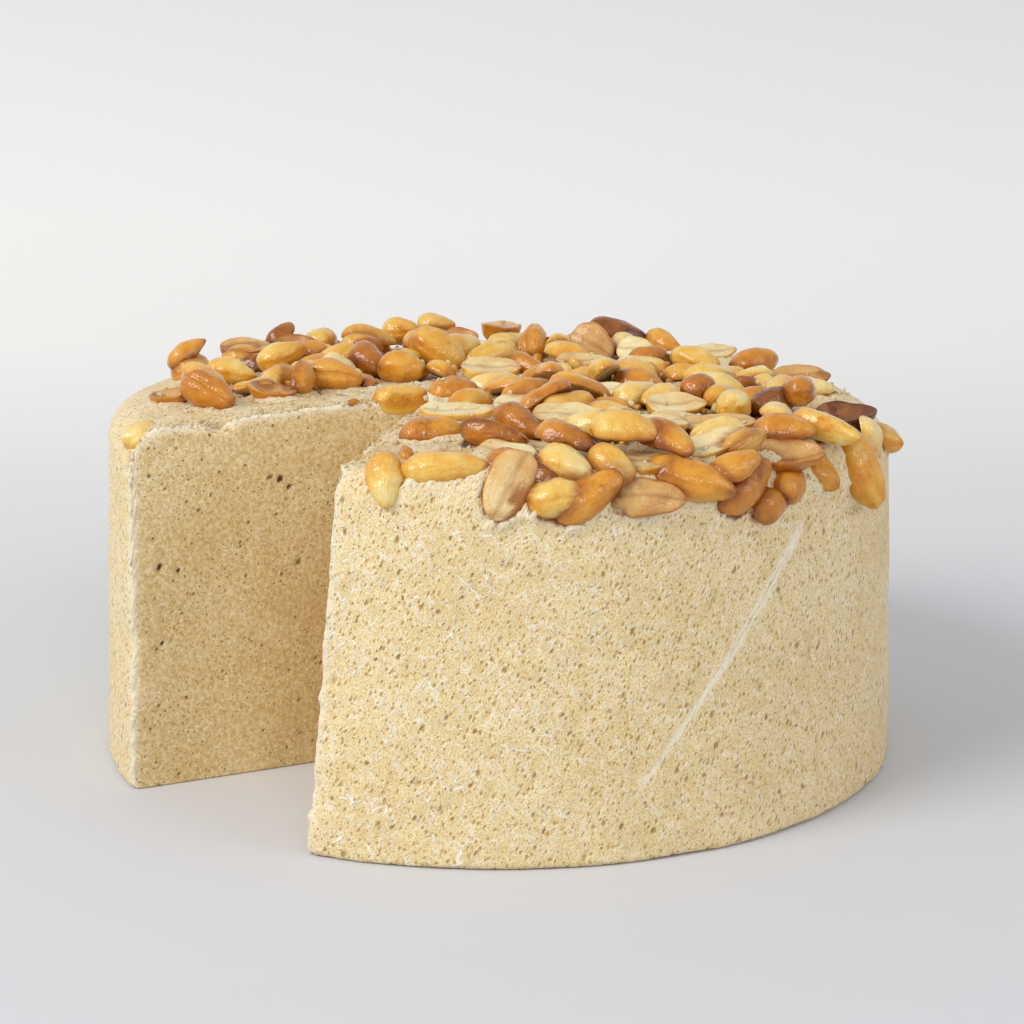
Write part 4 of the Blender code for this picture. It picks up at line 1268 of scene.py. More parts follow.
# %% Skin material
# Pressed halva, dry and dense: a sandy matt skin, ochre in its pits and darkened there further as painted
# shade of the hollows, pale where it was squeezed between the peanuts or crumbled along the cuts, with a
# little oil that glistens in and round the pits. Painted glints lie on the brims of some pits, and amber
# syrup with painted shade lies in the gaps beside the peanuts.
hollow = add_node(tree, "ShaderNodeAttribute", attribute_name="pit").outputs["Fac"]
hollow = add_node(tree, "ShaderNodeMapRange", between(hollow, 0.3, 1.0), **SOFT)
lip = add_node(tree, "ShaderNodeAttribute", attribute_name="lip").outputs["Fac"]
edge = add_node(tree, "ShaderNodeAttribute", attribute_name="edge").outputs["Fac"]
pale = add_node(tree, "ShaderNodeMath", {0: lip, 1: edge}, operation="MAXIMUM")
soaked_and_shaded = add_node(tree, "ShaderNodeAttribute", attribute_name="syrup_and_shade").outputs["Fac"]
soaked_and_shaded = add_node(tree, "ShaderNodeMapRange", between(soaked_and_shaded, 0.15, 0.75), **SOFT)

sand = sandy(
    tree,
    grit,
    ((0.35, "#D8B978"), (0.64, "#F7E9C0")),
    cloud,
    ((0.35, "#F8F3EA"), (0.65, "#FFFFFF")),
)
# The ochre of the specks and pits is partly their own colour and partly painted shade of the hollows.
sand = layered(tree, sand, (
    (wide, 0.4, "#D6B980"),
    (fibres, 0.5, "#F8F0DE"),
    (specks, 0.75, "#C39A4A"),
    (small, 0.9, "#B98A36"),
    (middle, 0.9, "#AC7C2C"),
    # Painted shade: the mesh pits grow darker where they are deeper.
    (hollow, 0.65, "#B58B4E"),
    (net, 0.85, "#FBF6EA"),
    # Painted highlight: the glints are near-white colour.
    (painted_glints, 0.9, "#FFFDF6"),
    (scar, 0.6, "#F2EADB"),
    (pale, 0.55, "#EFE4CE"),
))
# Amber of syrup, and painted shade in the gaps beside the peanuts.
sand = soaked_in_syrup(tree, sand, soaked_and_shaded)

calm = add_node(tree, "ShaderNodeMath", {0: scar, 1: soaked_and_shaded}, operation="MAXIMUM")
calm = add_node(tree, "ShaderNodeMapRange", between(calm, 1.2, 0.0), **SOFT)
height = raised(tree, (
    (grit, 0.22),
    (middle, -0.42),
    (small, -0.20),
    (specks, -0.06),
    (fibres, 0.05),
    (net, 0.14),
))
height = only_where(tree, height, calm)
bump = add_node(tree, "ShaderNodeBump", {"Height": height, "Distance": MM, "Strength": 1.0})

in_pits = add_node(tree, "ShaderNodeMath", {0: small, 1: middle}, operation="MAXIMUM")
oil = only_where(
    tree,
    add_node(tree, "ShaderNodeMapRange", between(cloud, 0.4, 0.62, 0.62, 0.45), **SOFT),
    add_node(tree, "ShaderNodeMapRange", between(soaked_and_shaded, 0.1, 0.8, 1.0, 0.25), **SOFT),
    add_node(tree, "ShaderNodeMapRange", between(in_pits, 0.0, 0.5, 1.0, 0.45), **SOFT),
)
surface = {"Base Color": sand, "Roughness": oil, "Normal": bump, "IOR": 1.45}
surface = add_node(tree, "ShaderNodeBsdfPrincipled", surface)
add_node(tree, "ShaderNodeOutputMaterial", {"Surface": surface})
body_mesh.materials.append(skin)
print("skin nodes:", len(tree.nodes))

# %% [markdown]
# ## The cut faces
# A knife through halva leaves a flat, dry, crumbly face, a little deeper in colour than the skin:
# fine grains with pits of half a millimetre, clusters of specks and pale flecks, and scattered larger
# holes, some of which are hollows in the mesh.

# %% Cut face material
cut_face = new_material("cut_halva_crumb")
tree = cut_face.node_tree
uv = add_node(tree, "ShaderNodeUVMap", uv_map="skin").outputs["UV"]
place = add_node(tree, "ShaderNodeTexCoord").outputs["Object"]
fine = blotches(tree, uv, (0.6 * MM, 0.5 * MM), (0.0, 0.0, 0.4), 0.50, 0.74)
clusters = blotches(tree, uv, (15 * MM, 11 * MM), (0.0, 0.0, 0.5), 0.34, 0.6)
specks = only_where(tree, round_pits(tree, uv, (1.5 * MM, 1.2 * MM), (0.0, 0.0, 0.9), 0.3, 0.5), clusters)
flecks = only_where(tree, round_pits(tree, uv, (1.9 * MM, 2.6 * MM), (0.0, 0.0, 0.2), 0.2, 0.4), clusters)
coarse = round_pits(tree, uv, (5.6 * MM, 4.4 * MM), (0.0, 0.0, 0.9), 0.15, 0.6)
marks = add_node(tree, "ShaderNodeAttribute", attribute_name="pit").outputs["Fac"]
marks = add_node(tree, "ShaderNodeMapRange", between(marks, 0.3, 0.75), **SOFT)
edge = add_node(tree, "ShaderNodeAttribute", attribute_name="edge").outputs["Fac"]
grit = {"Vector": place, "Scale": 0.9 / MM, "Detail": 4.0, "Roughness": 0.72}
grit = add_node(tree, "ShaderNodeTexNoise", grit)
cloud = add_node(tree, "ShaderNodeTexNoise", {"Vector": place, "Scale": 0.06 / MM, "Detail": 3.0})
crumb = sandy(
    tree,
    grit,
    ((0.32, "#CAA869"), (0.68, "#F6E6BE")),
    cloud,
    ((0.35, "#F6EFE2"), (0.65, "#FFFFFF")),
)
# The coarse holes and the marks in the mesh hollows are darkened as painted shade of the holes; the marks
# almost black.
crumb = layered(tree, crumb, (
    (fine, 0.4, "#AE8848"),
    (specks, 0.95, "#7E5C2A"),
    (flecks, 0.95, "#FFF9EA"),
    (coarse, 0.9, "#7E5A2A"),
    (marks, 0.97, "#3E2408"),
    (edge, 0.75, "#FAF2DE"),
))
height = raised(tree, ((grit, 0.2), (coarse, -0.35), (specks, -0.25), (fine, -0.06), (flecks, 0.14)))
bump = add_node(tree, "ShaderNodeBump", {"Height": height, "Distance": MM, "Strength": 1.0})
surface = {"Base Color": crumb, "Roughness": 0.75, "Normal": bump, "IOR": 1.45}
surface = add_node(tree, "ShaderNodeBsdfPrincipled", surface)
add_node(tree, "ShaderNodeOutputMaterial", {"Surface": surface})
body_mesh.materials.append(cut_face)
print("cut face nodes:", len(tree.nodes))

# %% [markdown]
# ## Peanut kernels
# A roasted peanut is a long drop with a blunt and a pointed end, and it splits into two halves: a dome
# with a flat inner face, a groove along that face and the little germ at its tip. Some halves dry into
# cups, some kernels gape along their seam, and some break. Each shape is modelled once, a unit long
# each way from its middle, as rings of points across its length. They could be sculpted, but a section
# drawn as a formula gives the groove, the rim and the seam exactly where they belong. Three attributes
# tell the material where it is: along the kernel, across it, and on its inner face or not.

# %% Kernel shapes
RINGS = 18
DOME_ANGLES = np.radians([0, 8, 20, 40, 62, 84, 106, 128, 148, 164, 175])
FACE_PLACES = np.array([-1.0, -0.96, -0.86, -0.66, -0.42, -0.2, -0.07, 0.07, 0.2, 0.42, 0.66, 0.86, 0.96])
SEAM_ANGLES = np.radians([0, 6, 14, 28, 48, 70, 90, 110, 132, 152, 166, 174])
SEAM_ANGLES = np.concatenate([SEAM_ANGLES, SEAM_ANGLES + math.pi])


def girth(x, blunt=2.4, sharp=1.9):
    """Half the width of a kernel at x from -1 to 1: blunt behind, finer at the germ end."""
    power = blunt if x < 0 else sharp
    return (1 - abs(x) ** power) ** 0.5 * (1 - GERM_END_TAPER * x)


def whole_section(x, seam_depth, seam_turn, part):
    """A whole kernel with a seam; part pushes its two halves away from each other."""
    wide = girth(x)
    from_seam = np.abs(np.sin(SEAM_ANGLES))
    radius = wide * (1 - seam_depth * np.exp(-((from_seam / 0.13) ** 2)))
    y = radius * np.cos(SEAM_ANGLES)
    z = radius * np.sin(SEAM_ANGLES) * WHOLE_DEPTH + part * np.sign(np.sin(SEAM_ANGLES) + 1e-9) * (1 + x) / 2
    turn = math.radians(seam_turn)
    return y * math.cos(turn) - z * math.sin(turn), y * math.sin(turn) + z * math.cos(turn), y * 0


def half_section(x, hollow, groove, groove_at, germ, blunt=2.4, sharp=1.9):
    """A half: dome above, and an inner face with a hollow, a groove along it and the germ's nub."""
    wide = girth(x, blunt, sharp)
    dome_y, dome_z = wide * np.cos(DOME_ANGLES), wide * np.sin(DOME_ANGLES) * HALF_DEPTH
    across = FACE_PLACES
    lip = (1 - np.abs(across) ** 6) ** 0.5
    bowl = hollow * (1 - np.abs(across) ** 2.6) * (1 - abs(x) ** 3)
    line = groove * np.exp(-(((across - groove_at) / 0.13) ** 2)) * (1 - abs(x) ** 6)
    nub = germ * math.exp(-(((x - 0.66) / 0.17) ** 2)) * np.exp(-((across / 0.26) ** 2))
    face_z = wide * (-FLAT_SIDE * lip + bowl + line - nub)
    inner = np.clip((1 - np.abs(across)) / 0.1, 0, 1)
    y = np.concatenate([dome_y, across * wide])
    return y, np.concatenate([dome_z, face_z]), np.concatenate([dome_y * 0, inner])


def kernel_mesh(name, section, rings=RINGS):
    """A closed kernel of unit half length and half width from its sections."""
    stations = -np.cos(np.linspace(0, math.pi, rings + 1))[1:-1]
    points, along, across, inner = [(-1.0, 0.0, 0.0)], [-1.0], [0.0], [0.0]
    for x in stations:
        y, z, inside = section(x)
        points += list(zip(np.full(len(y), x), y, z))
        along += [x] * len(y)
        across += list(y / max(0.05, girth(x)))
        inner += list(inside)
    points.append((1.0, 0.0, 0.0))
    sides = len(y)
    faces = []
    for side in range(sides):
        after = (side + 1) % sides
        faces.append((0, 1 + after, 1 + side))
        for ring in range(len(stations) - 1):
            low, high = 1 + ring * sides, 1 + (ring + 1) * sides
            faces.append((low + side, low + after, high + after, high + side))
        last = 1 + (len(stations) - 1) * sides
        faces.append((last + side, last + after, len(points) - 1))
    mesh = bpy.data.meshes.new(name)
    mesh.from_pydata(points, [], faces)
    for label, values in (("along", along + [1.0]), ("across", across + [0.0]), ("inner", inner + [0.0])):
        mesh.attributes.new(label, "FLOAT", "POINT").data.foreach_set("value", np.array(values, np.float32))
    mesh.shade_smooth()
    return bpy.data.objects.new(name, mesh)


kernels = {
    "whole": kernel_mesh("whole_kernel", lambda x: whole_section(x, 0.05, 0, 0.0)),
    "split": kernel_mesh("split_kernel", lambda x: whole_section(x, 0.22, 78, 0.05)),
    "half": kernel_mesh("half_kernel", lambda x: half_section(x, -0.04, 0.05, -0.42, 0.0)),
    "boat": kernel_mesh("boat_kernel", lambda x: half_section(x, 0.20, 0.05, 0.0, 0.20)),
    "cup": kernel_mesh("cup_kernel", lambda x: half_section(x, 0.55, 0.06, 0.0, 0.06)),
    "chip": kernel_mesh("chip_kernel", lambda x: half_section(x, 0.12, 0.05, 0.2, 0.0, 2.4, 7.0)),
}
print("faces of a kernel:", {shape: len(thing.data.polygons) for shape, thing in kernels.items()})

# %% [markdown]
# ## Roasted peanut
# A peanut without its skin is waxy and a little oily: pale cream where it was roasted least, golden,
# amber and brown where it was roasted most, darkest at its tips and edges. The inner face is dustier
# and pinker. One material does for all: the roast that each peanut was given picks its colour.

# %% Peanut material
peanut = new_material("roasted_peanut_oiled")
tree = peanut.node_tree
place = add_node(tree, "ShaderNodeTexCoord").outputs["Object"]
given_roast = add_node(tree, "ShaderNodeAttribute", attribute_name="roast").outputs["Fac"]
along = add_node(tree, "ShaderNodeAttribute", attribute_name="along").outputs["Fac"]
across = add_node(tree, "ShaderNodeAttribute", attribute_name="across").outputs["Fac"]
inner = add_node(tree, "ShaderNodeAttribute", attribute_name="inner").outputs["Fac"]
off_middle = add_node(tree, "ShaderNodeMath", {0: across}, operation="ABSOLUTE")

# Roasting is uneven: blotches, brown tips, one end darker than the other, brown edges of the halves.
mottle = {"Vector": place, "Scale": 0.19 / MM, "Detail": 4.0, "Roughness": 0.6}
mottle = add_node(tree, "ShaderNodeTexNoise", mottle)
mottle = add_node(tree, "ShaderNodeMath", {0: mottle, 1: 0.5}, operation="SUBTRACT")
roast = add_node(tree, "ShaderNodeMath", {0: mottle, 1: 0.55, 2: given_roast}, operation="MULTIPLY_ADD")
tip = add_node(tree, "ShaderNodeMath", {0: along}, operation="ABSOLUTE")
tip = add_node(tree, "ShaderNodeMapRange", between(tip, 0.78, 1.0, 0.0, 0.16))
roast = add_node(tree, "ShaderNodeMath", {0: tip, 1: roast}, operation="ADD")
side = add_node(tree, "ShaderNodeMath", {0: given_roast, 1: 97.0}, operation="MULTIPLY")
side = add_node(tree, "ShaderNodeMath", {0: side}, operation="SINE")
side = add_node(tree, "ShaderNodeMath", {0: side, 1: along}, operation="MULTIPLY")
roast = add_node(tree, "ShaderNodeMath", {0: side, 1: 0.11, 2: roast}, operation="MULTIPLY_ADD")
brim = add_node(tree, "ShaderNodeMapRange", between(off_middle, 0.82, 1.0, 0.0, 0.14))
roast = add_node(tree, "ShaderNodeMath", {0: brim, 1: roast}, operation="ADD")
burn = {"Vector": place, "Scale": 0.13 / MM, "Detail": 5.0, "Roughness": 0.75}
burn = add_node(tree, "ShaderNodeTexNoise", burn)
burn = add_node(tree, "ShaderNodeMapRange", between(burn, 0.56, 0.76, 0.0, 0.24), **SOFT)
roast = add_node(tree, "ShaderNodeMath", {0: burn, 1: roast}, operation="ADD")
outside = add_node(
    tree,
    "ShaderNodeValToRGB",
    {"Fac": roast},
    stops=(
        (0.06, "#ECD692"),
        (0.24, "#E4BA58"),
        (0.42, "#D89426"),
        (0.58, "#C07816"),
        (0.75, "#98560E"),
        (0.95, "#582A06"),
    ),
)
inside = add_node(
    tree,
    "ShaderNodeValToRGB",
    {"Fac": roast},
    stops=((0.1, "#E8D8A4"), (0.35, "#D8AE6A"), (0.6, "#B67E42"), (0.95, "#6A3820")),
)
colour = add_node(tree, "ShaderNodeMix", {0: inner, 6: outside, 7: inside}, **MIXED)
middle = add_node(tree, "ShaderNodeMapRange", between(off_middle, 0.22, 0.0, 0.0, 0.4))
middle = add_node(tree, "ShaderNodeMath", {0: middle, 1: inner}, operation="MULTIPLY")
colour = add_node(tree, "ShaderNodeMix", {0: middle, 6: colour, 7: linear("#A0683C")}, **TINTED)

# Painted shade: where a kernel touches another one or the halva, its colour is darkened to amber, as shade
# falls in those corners, in the colour of syrup.
painted_contact_shade = add_node(tree, "ShaderNodeAttribute", attribute_name="painted_contact_shade").outputs["Fac"]
painted_contact_shade = add_node(tree, "ShaderNodeMath", {0: painted_contact_shade, 1: 0.75}, operation="MULTIPLY")
colour = add_node(tree, "ShaderNodeMix", {0: painted_contact_shade, 6: colour, 7: linear("#A8641E")}, **TINTED)

# Fine veins run the long way of a kernel, over shallow dents.
vein_place = add_node(tree, "ShaderNodeCombineXYZ", {"X": along, "Y": across, "Z": given_roast})
vein_place = {0: vein_place, 1: (2.6, 7.0, 60.0)}
vein_place = add_node(tree, "ShaderNodeVectorMath", vein_place, operation="MULTIPLY")
veins = add_node(tree, "ShaderNodeTexNoise", {"Vector": vein_place, "Scale": 1.0, "Detail": 3.0})
dents = add_node(tree, "ShaderNodeTexNoise", {"Vector": place, "Scale": 0.26 / MM, "Detail": 3.0})
grain = add_node(tree, "ShaderNodeTexNoise", {"Vector": place, "Scale": 1.5 / MM, "Detail": 2.0})
height = raised(tree, ((dents, 0.7), (veins, 0.28), (grain, 0.10)))
bump = add_node(tree, "ShaderNodeBump", {"Height": height, "Distance": MM, "Strength": 0.9})
gloss = add_node(tree, "ShaderNodeTexNoise", {"Vector": place, "Scale": 0.15 / MM, "Detail": 2.0})
gloss = add_node(tree, "ShaderNodeMapRange", between(gloss, 0.3, 0.7, 0.26, 0.46))
coat = add_node(tree, "ShaderNodeMapRange", between(inner, 0.0, 1.0, 0.7, 0.35), **SOFT)

# The syrup on top is thin and beaded, so its mirror image of the window breaks up.
beads = add_node(tree, "ShaderNodeTexNoise", {"Vector": place, "Scale": 0.64 / MM, "Detail": 2.0})
beads = add_node(tree, "ShaderNodeMath", {0: beads, 1: 0.35, 2: dents}, operation="MULTIPLY_ADD")
syrup_bump = add_node(tree, "ShaderNodeBump", {"Height": beads, "Distance": MM, "Strength": 0.8})
surface = add_node(
    tree,
    "ShaderNodeBsdfPrincipled",
    {
        "Base Color": colour,
        "Roughness": gloss,
        "Normal": bump,
        "IOR": 1.47,
        "Subsurface Weight": 0.15,
        "Subsurface Radius": (1.0, 0.5, 0.2),
        "Subsurface Scale": 2 * MM,
        "Specular IOR Level": 0.3,
        "Coat Weight": coat,
        "Coat Roughness": 0.05,
        "Coat Normal": syrup_bump,
    },
)
add_node(tree, "ShaderNodeOutputMaterial", {"Surface": surface})
print("peanut nodes:", len(tree.nodes))

# %% [markdown]
# ## Scattering the kernels
# Each peanut's place is a point that carries its turn, its size and its roast. Copying the kernel to
# each point by hand would do, but Geometry Nodes say it once: put the kernel on every point, make the
# copies real, and nudge their skin with a noise of kernel size, so that no two stay alike.

# %% Scatter tree
scatter = bpy.data.node_groups.new("scatter_kernels", "GeometryNodeTree")
scatter.interface.new_socket("Points", in_out="INPUT", socket_type="NodeSocketGeometry")
kernel_in = scatter.interface.new_socket("Kernel", in_out="INPUT", socket_type="NodeSocketObject")
nudge_in = scatter.interface.new_socket("Nudge", in_out="INPUT", socket_type="NodeSocketFloat")
lump_in = scatter.interface.new_socket("Lump Size", in_out="INPUT", socket_type="NodeSocketFloat")
material_in = scatter.interface.new_socket("Material", in_out="INPUT", socket_type="NodeSocketMaterial")
scatter.interface.new_socket("Kernels", in_out="OUTPUT", socket_type="NodeSocketGeometry")
given = add_node(scatter, "NodeGroupInput")
kernel = add_node(scatter, "GeometryNodeObjectInfo", {"Object": given.outputs["Kernel"]})
turning = add_node(scatter, "GeometryNodeInputNamedAttribute", {"Name": "turning"}, data_type="QUATERNION")
size = add_node(scatter, "GeometryNodeInputNamedAttribute", {"Name": "size"}, data_type="FLOAT_VECTOR")
copies = add_node(
    scatter,
    "GeometryNodeInstanceOnPoints",
    {
        "Points": given.outputs["Points"],
        "Instance": kernel.outputs["Geometry"],
        "Rotation": turning,
        "Scale": size,
    },
)
real = add_node(scatter, "GeometryNodeRealizeInstances", {"Geometry": copies})
where = add_node(scatter, "GeometryNodeInputPosition")
fineness = add_node(scatter, "ShaderNodeMath", {0: 1.0, 1: given.outputs["Lump Size"]}, operation="DIVIDE")
lumps = drift(scatter, where, fineness, 1.0, given.outputs["Nudge"])
fineness = add_node(scatter, "ShaderNodeMath", {0: 2.7, 1: fineness}, operation="MULTIPLY")
share = add_node(scatter, "ShaderNodeMath", {0: 0.3, 1: given.outputs["Nudge"]}, operation="MULTIPLY")
dents = drift(scatter, where, fineness, 0.0, share)
lumps = add_node(scatter, "ShaderNodeVectorMath", {0: lumps, 1: dents}, operation="ADD")
moved = add_node(scatter, "GeometryNodeSetPosition", {"Geometry": real, "Offset": lumps})
smooth = add_node(scatter, "GeometryNodeSetShadeSmooth", {"Geometry": moved})
dressed = {"Geometry": smooth, "Material": given.outputs["Material"]}
dressed = add_node(scatter, "GeometryNodeSetMaterial", dressed)
add_node(scatter, "NodeGroupOutput", {"Kernels": dressed})
print("scatter nodes:", len(scatter.nodes))

# %% [markdown]
# ## The peanuts as pieces
# All kernels of one shape become one piece. Each point of a kernel also learns how near it is to its
# neighbours and the halva, for the painted shade that darkens those corners to the amber of syrup. The three
# sunk peanuts are pieces of their own, and the one in the first cut is shaved flush with the knife's plane.

# %% Peanut pieces
NUDGE = 1.8 * MM
LUMP_SIZE = 7.0 * MM
SHAVED_TO = -0.3 * MM
CONTACT_SHADE_REACH = 0.9 * MM


def scattered(name, rows, kernel, material, nudge, lump_size):
    """One plain mesh with a kernel at each row's place: turning, size, centre and roast."""
    mesh = bpy.data.meshes.new(name)
    mesh.from_pydata([row[2] for row in rows], [], [])
    quaternions = [Matrix(row[0]).to_quaternion() for row in rows]
    for label, kind, key, values in (
        ("turning", "QUATERNION", "value", quaternions),
        ("size", "FLOAT_VECTOR", "vector", [row[1] for row in rows]),
        ("roast", "FLOAT", "value", [row[3] for row in rows]),
    ):
        mesh.attributes.new(label, kind, "POINT").data.foreach_set(key, np.array(values, np.float32).ravel())
    piece = bpy.data.objects.new(name, mesh)
    bpy.context.collection.objects.link(piece)
    maker = piece.modifiers.new("scatter", "NODES")
    maker.node_group = scatter
    maker[kernel_in.identifier] = kernel
    maker[nudge_in.identifier] = nudge
    maker[lump_in.identifier] = lump_size
    maker[material_in.identifier] = material
    graph = bpy.context.evaluated_depsgraph_get()
    piece.data = bpy.data.meshes.new_from_object(
        piece.evaluated_get(graph), preserve_all_data_layers=True, depsgraph=graph
    )
    piece.modifiers.clear()
    return piece


def kernel_row(shape, turning, length, width, centre, roast):
    return turning, Vector((length, width, width)) * MM / 2, centre, roast


def near_others(points, own, others):
    """How close each point of one peanut is to the other peanuts and the halva: 1 where they touch."""
    room = np.full(len(points), np.inf)
    for nut in others:
        if nut is not own and np.linalg.norm(nut[4] - own[4]) < 22 * MM:
            half_size = np.array([nut[2], nut[3], nut[3]]) * MM / 2
            away = np.linalg.norm((points - nut[4]) @ nut[1] / half_size, axis=1) - 1
            room = np.minimum(room, np.abs(away) * nut[3] * MM / 2)
    above = points[:, 2] - rounded_top(*points[:, :2].T, wall_radius(WHEEL_HEIGHT))
    outside = np.hypot(*points[:, :2].T) - wall_radius(points[:, 2])
    room = np.minimum(room, np.maximum(0, np.maximum(above, outside)))
    return np.exp(-((room / CONTACT_SHADE_REACH) ** 2))


for shape, kernel in kernels.items():
    rows = [row for row in peanuts if row[0] == shape]
    chosen = [kernel_row(*row) for row in rows]
    piece = scattered(f"{shape}_peanuts", chosen, kernel, peanut, NUDGE, LUMP_SIZE)
    places = np.array([vertex.co for vertex in piece.data.vertices]).reshape(len(rows), -1, 3)
    # Painted shade near the contacts, tinted amber.
    painted_contact_shade = [near_others(points, row, peanuts) for points, row in zip(places, rows)]
    piece.data.attributes.new("painted_contact_shade", "FLOAT", "POINT")
    piece.data.attributes["painted_contact_shade"].data.foreach_set("value", np.concatenate(painted_contact_shade).astype(np.float32))
    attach(piece, "root")
    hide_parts("peanut_topping")
    print(piece.name, len(chosen), "of", len(piece.data.polygons), "faces")

kernels["sunk"] = kernel_mesh("sunk_kernel", lambda x: whole_section(x, 0.015, 0, 0.0))
for number, (shape, x, y, turn, pitch, roll, length, width, height, roast) in enumerate(SUNK_PEANUTS):
    centre = np.array([x, y, height]) * MM
    row = kernel_row(shape, peanut_turn(turn, pitch, roll), length, width, centre, roast)
    piece = scattered(f"sunk_peanut_{number + 1}", [row], kernels["sunk"], peanut, NUDGE, LUMP_SIZE / 2)
    for vertex in piece.data.vertices:
        past_knife = SHAVED_TO - cut_side(vertex.co.x, vertex.co.y, CUT_A_AT_WALL, 1)
        if abs(past_knife) < 3 * MM and past_knife > 0:
            vertex.co.xy += inward_a * past_knife
    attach(piece, "root")
    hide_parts("halva_wheel")

# %% [markdown]
# ## The paste under the peanuts
# The peanuts were pressed into a rough layer of soft halva that fills the gaps and climbs a little
# against each one. It is a fan of faces from the corner of the cuts out to the bed's edge: star shapes
# like this one need no outline search. Noise makes it crumbly, and the distance to the nearest peanut
# raises it.

# %% Paste bed
FAN_STEPS = 330
FAN_ROWS = 96
PASTE_THICKNESS = 0.4 * MM
PASTE_RISE = -0.7 * MM
PASTE_REACH = 1.1 * MM
SHADE_WHERE_DRY = 0.4
PASTE_SYRUP_AND_SHADE_REACH = 2.6 * MM
PASTE_SUNK = 0.3 * MM
PASTE_BORDER = 5 * MM
CLUMPS = 5 * MM
CRUMBLES = 1.7 * MM
WET_PATCHES = 22 * MM
RAGGED = 1.2 * MM

# Where the paste lies under a peanut it stays this share of the peanut's thickness below its top.
HIDDEN_SHARE = 0.85
FAR_ABOVE = 30 * MM

on_a = Vector(CUT_CORNER) + inward_a * (BED_FROM_CUT_A - 3 * MM)
on_b = Vector(CUT_CORNER) + inward_b * (BED_FROM_CUT_B - 1.5 * MM)
fan_corner = meeting_point(on_a, along_a, on_b, along_b)
low_ends = []
for nut in peanuts:
    points = outside_of(nut)
    points = points[points[:, 2] < top_height(*points[:, :2].T) + 4 * MM]
    low_ends += [(x, y, 0.0) for x, y, _ in points]
ends = tree_of(low_ends)

first_turn = math.atan2(along_b.y, along_b.x)
last_turn = math.atan2(along_a.y, along_a.x) + 2 * math.pi
fan = []
for turn in np.linspace(first_turn, last_turn, FAN_STEPS + 1):
    ray = Vector((math.cos(turn), math.sin(turn)))
    reach = 0.0
    for _ in range(12):
        end = fan_corner + ray * reach
        reach += (bed_edge(angle_of(*end)) - end.length) * 0.7
    ragged = RAGGED * noise.noise(Vector((*ray, 0.5)) * 9)
    fan.append([fan_corner + ray * (reach + ragged) * (step / FAN_ROWS) for step in range(1, FAN_ROWS + 1)])

paste_points = []
syrup_and_shade = []
for spoke, line in enumerate(fan):
    for step, point in enumerate(line):
        surface_z = float(rounded_top(point.x, point.y, wall_radius(WHEEL_HEIGHT)))
        gap = ends.find((point.x, point.y, 0.0))[2]
        rise = PASTE_RISE * math.exp(-((gap / PASTE_REACH) ** 2))
        spot = Vector((point.x, point.y, 0.0))
        rough = 0.9 * noise.noise(spot / CLUMPS) + 0.6 * noise.noise(spot / CRUMBLES)
        # Within reach of a peanut the paste is darkened to amber even where it is dry: painted shade of the
        # gaps, with syrup where the wet patches are.
        wet = 0.5 + 0.9 * noise.noise(spot / WET_PATCHES + Vector((5, 0, 0))) + 10 * max(0.0, point.x)
        syrup_and_shade.append(math.exp(-((gap / PASTE_SYRUP_AND_SHADE_REACH) ** 2)) * min(1.0, max(SHADE_WHERE_DRY, wet)))
        edge = min(1.0, (FAN_ROWS - 1 - step) / 4, spoke / 3, (FAN_STEPS - spoke) / 3)
        thickness = (PASTE_THICKNESS + rise + rough * MM) * edge
        paste_points.append((point.x, point.y, surface_z + thickness - PASTE_SUNK))
paste_points = np.array(paste_points)
down = np.array([0.0, 0.0, -1.0])
for nut in peanuts:
    near = np.nonzero(np.linalg.norm(paste_points[:, :2] - nut[4][:2], axis=1) < nut[2] * MM)[0]
    enter, leave = span_inside(paste_points[near] - FAR_ABOVE * down, down, nut)
    limit = paste_points[near, 2] + FAR_ABOVE - enter - HIDDEN_SHARE * (leave - enter)
    paste_points[near, 2] = np.fmin(paste_points[near, 2], limit)
paste_points = [tuple(point) for point in paste_points]
paste_points.append((*fan_corner, top_height(*fan_corner) + PASTE_THICKNESS))
top_corner = len(paste_points) - 1
last = FAN_ROWS - 1
faces = []
for a in range(0, FAN_STEPS * FAN_ROWS, FAN_ROWS):
    b = a + FAN_ROWS
    faces.append((top_corner, a, b))
    faces += [(a + step, a + step + 1, b + step + 1, b + step) for step in range(last)]

# Round its border the paste goes straight down into the halva, and a flat face closes it below.
border = [top_corner, *range(FAN_ROWS)]
border += [spoke * FAN_ROWS + last for spoke in range(1, FAN_STEPS)]
border += [FAN_STEPS * FAN_ROWS + step for step in range(last, -1, -1)]
low = range(len(paste_points), len(paste_points) + len(border))
paste_points += [(x, y, z - PASTE_BORDER) for x, y, z in [paste_points[index] for index in border]]
for here, there in zip(range(-1, len(border) - 1), range(len(border))):
    faces.append((border[here], low[here], low[there], border[there]))
faces.append(tuple(reversed(low)))
paste_mesh = bpy.data.meshes.new("halva_paste")
paste_mesh.from_pydata(paste_points, [], faces)
paste_mesh.shade_smooth()
syrup_and_shade_values = np.zeros(len(paste_points), np.float32)
syrup_and_shade_values[:len(syrup_and_shade)] = syrup_and_shade
paste_mesh.attributes.new("syrup_and_shade", "FLOAT", "POINT").data.foreach_set("value", syrup_and_shade_values)
paste = bpy.data.objects.new("halva_paste", paste_mesh)
bpy.context.collection.objects.link(paste)
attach(paste, "root")
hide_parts("peanut_topping")
print("paste faces:", len(paste_mesh.polygons))

# %% [markdown]
# ## The paste's finish
# Where the skin was pressed smooth by the mould, the paste is torn and crumbly, so it gets the same
# grains with a stronger bump, and a wet gloss where the syrup soaked in.

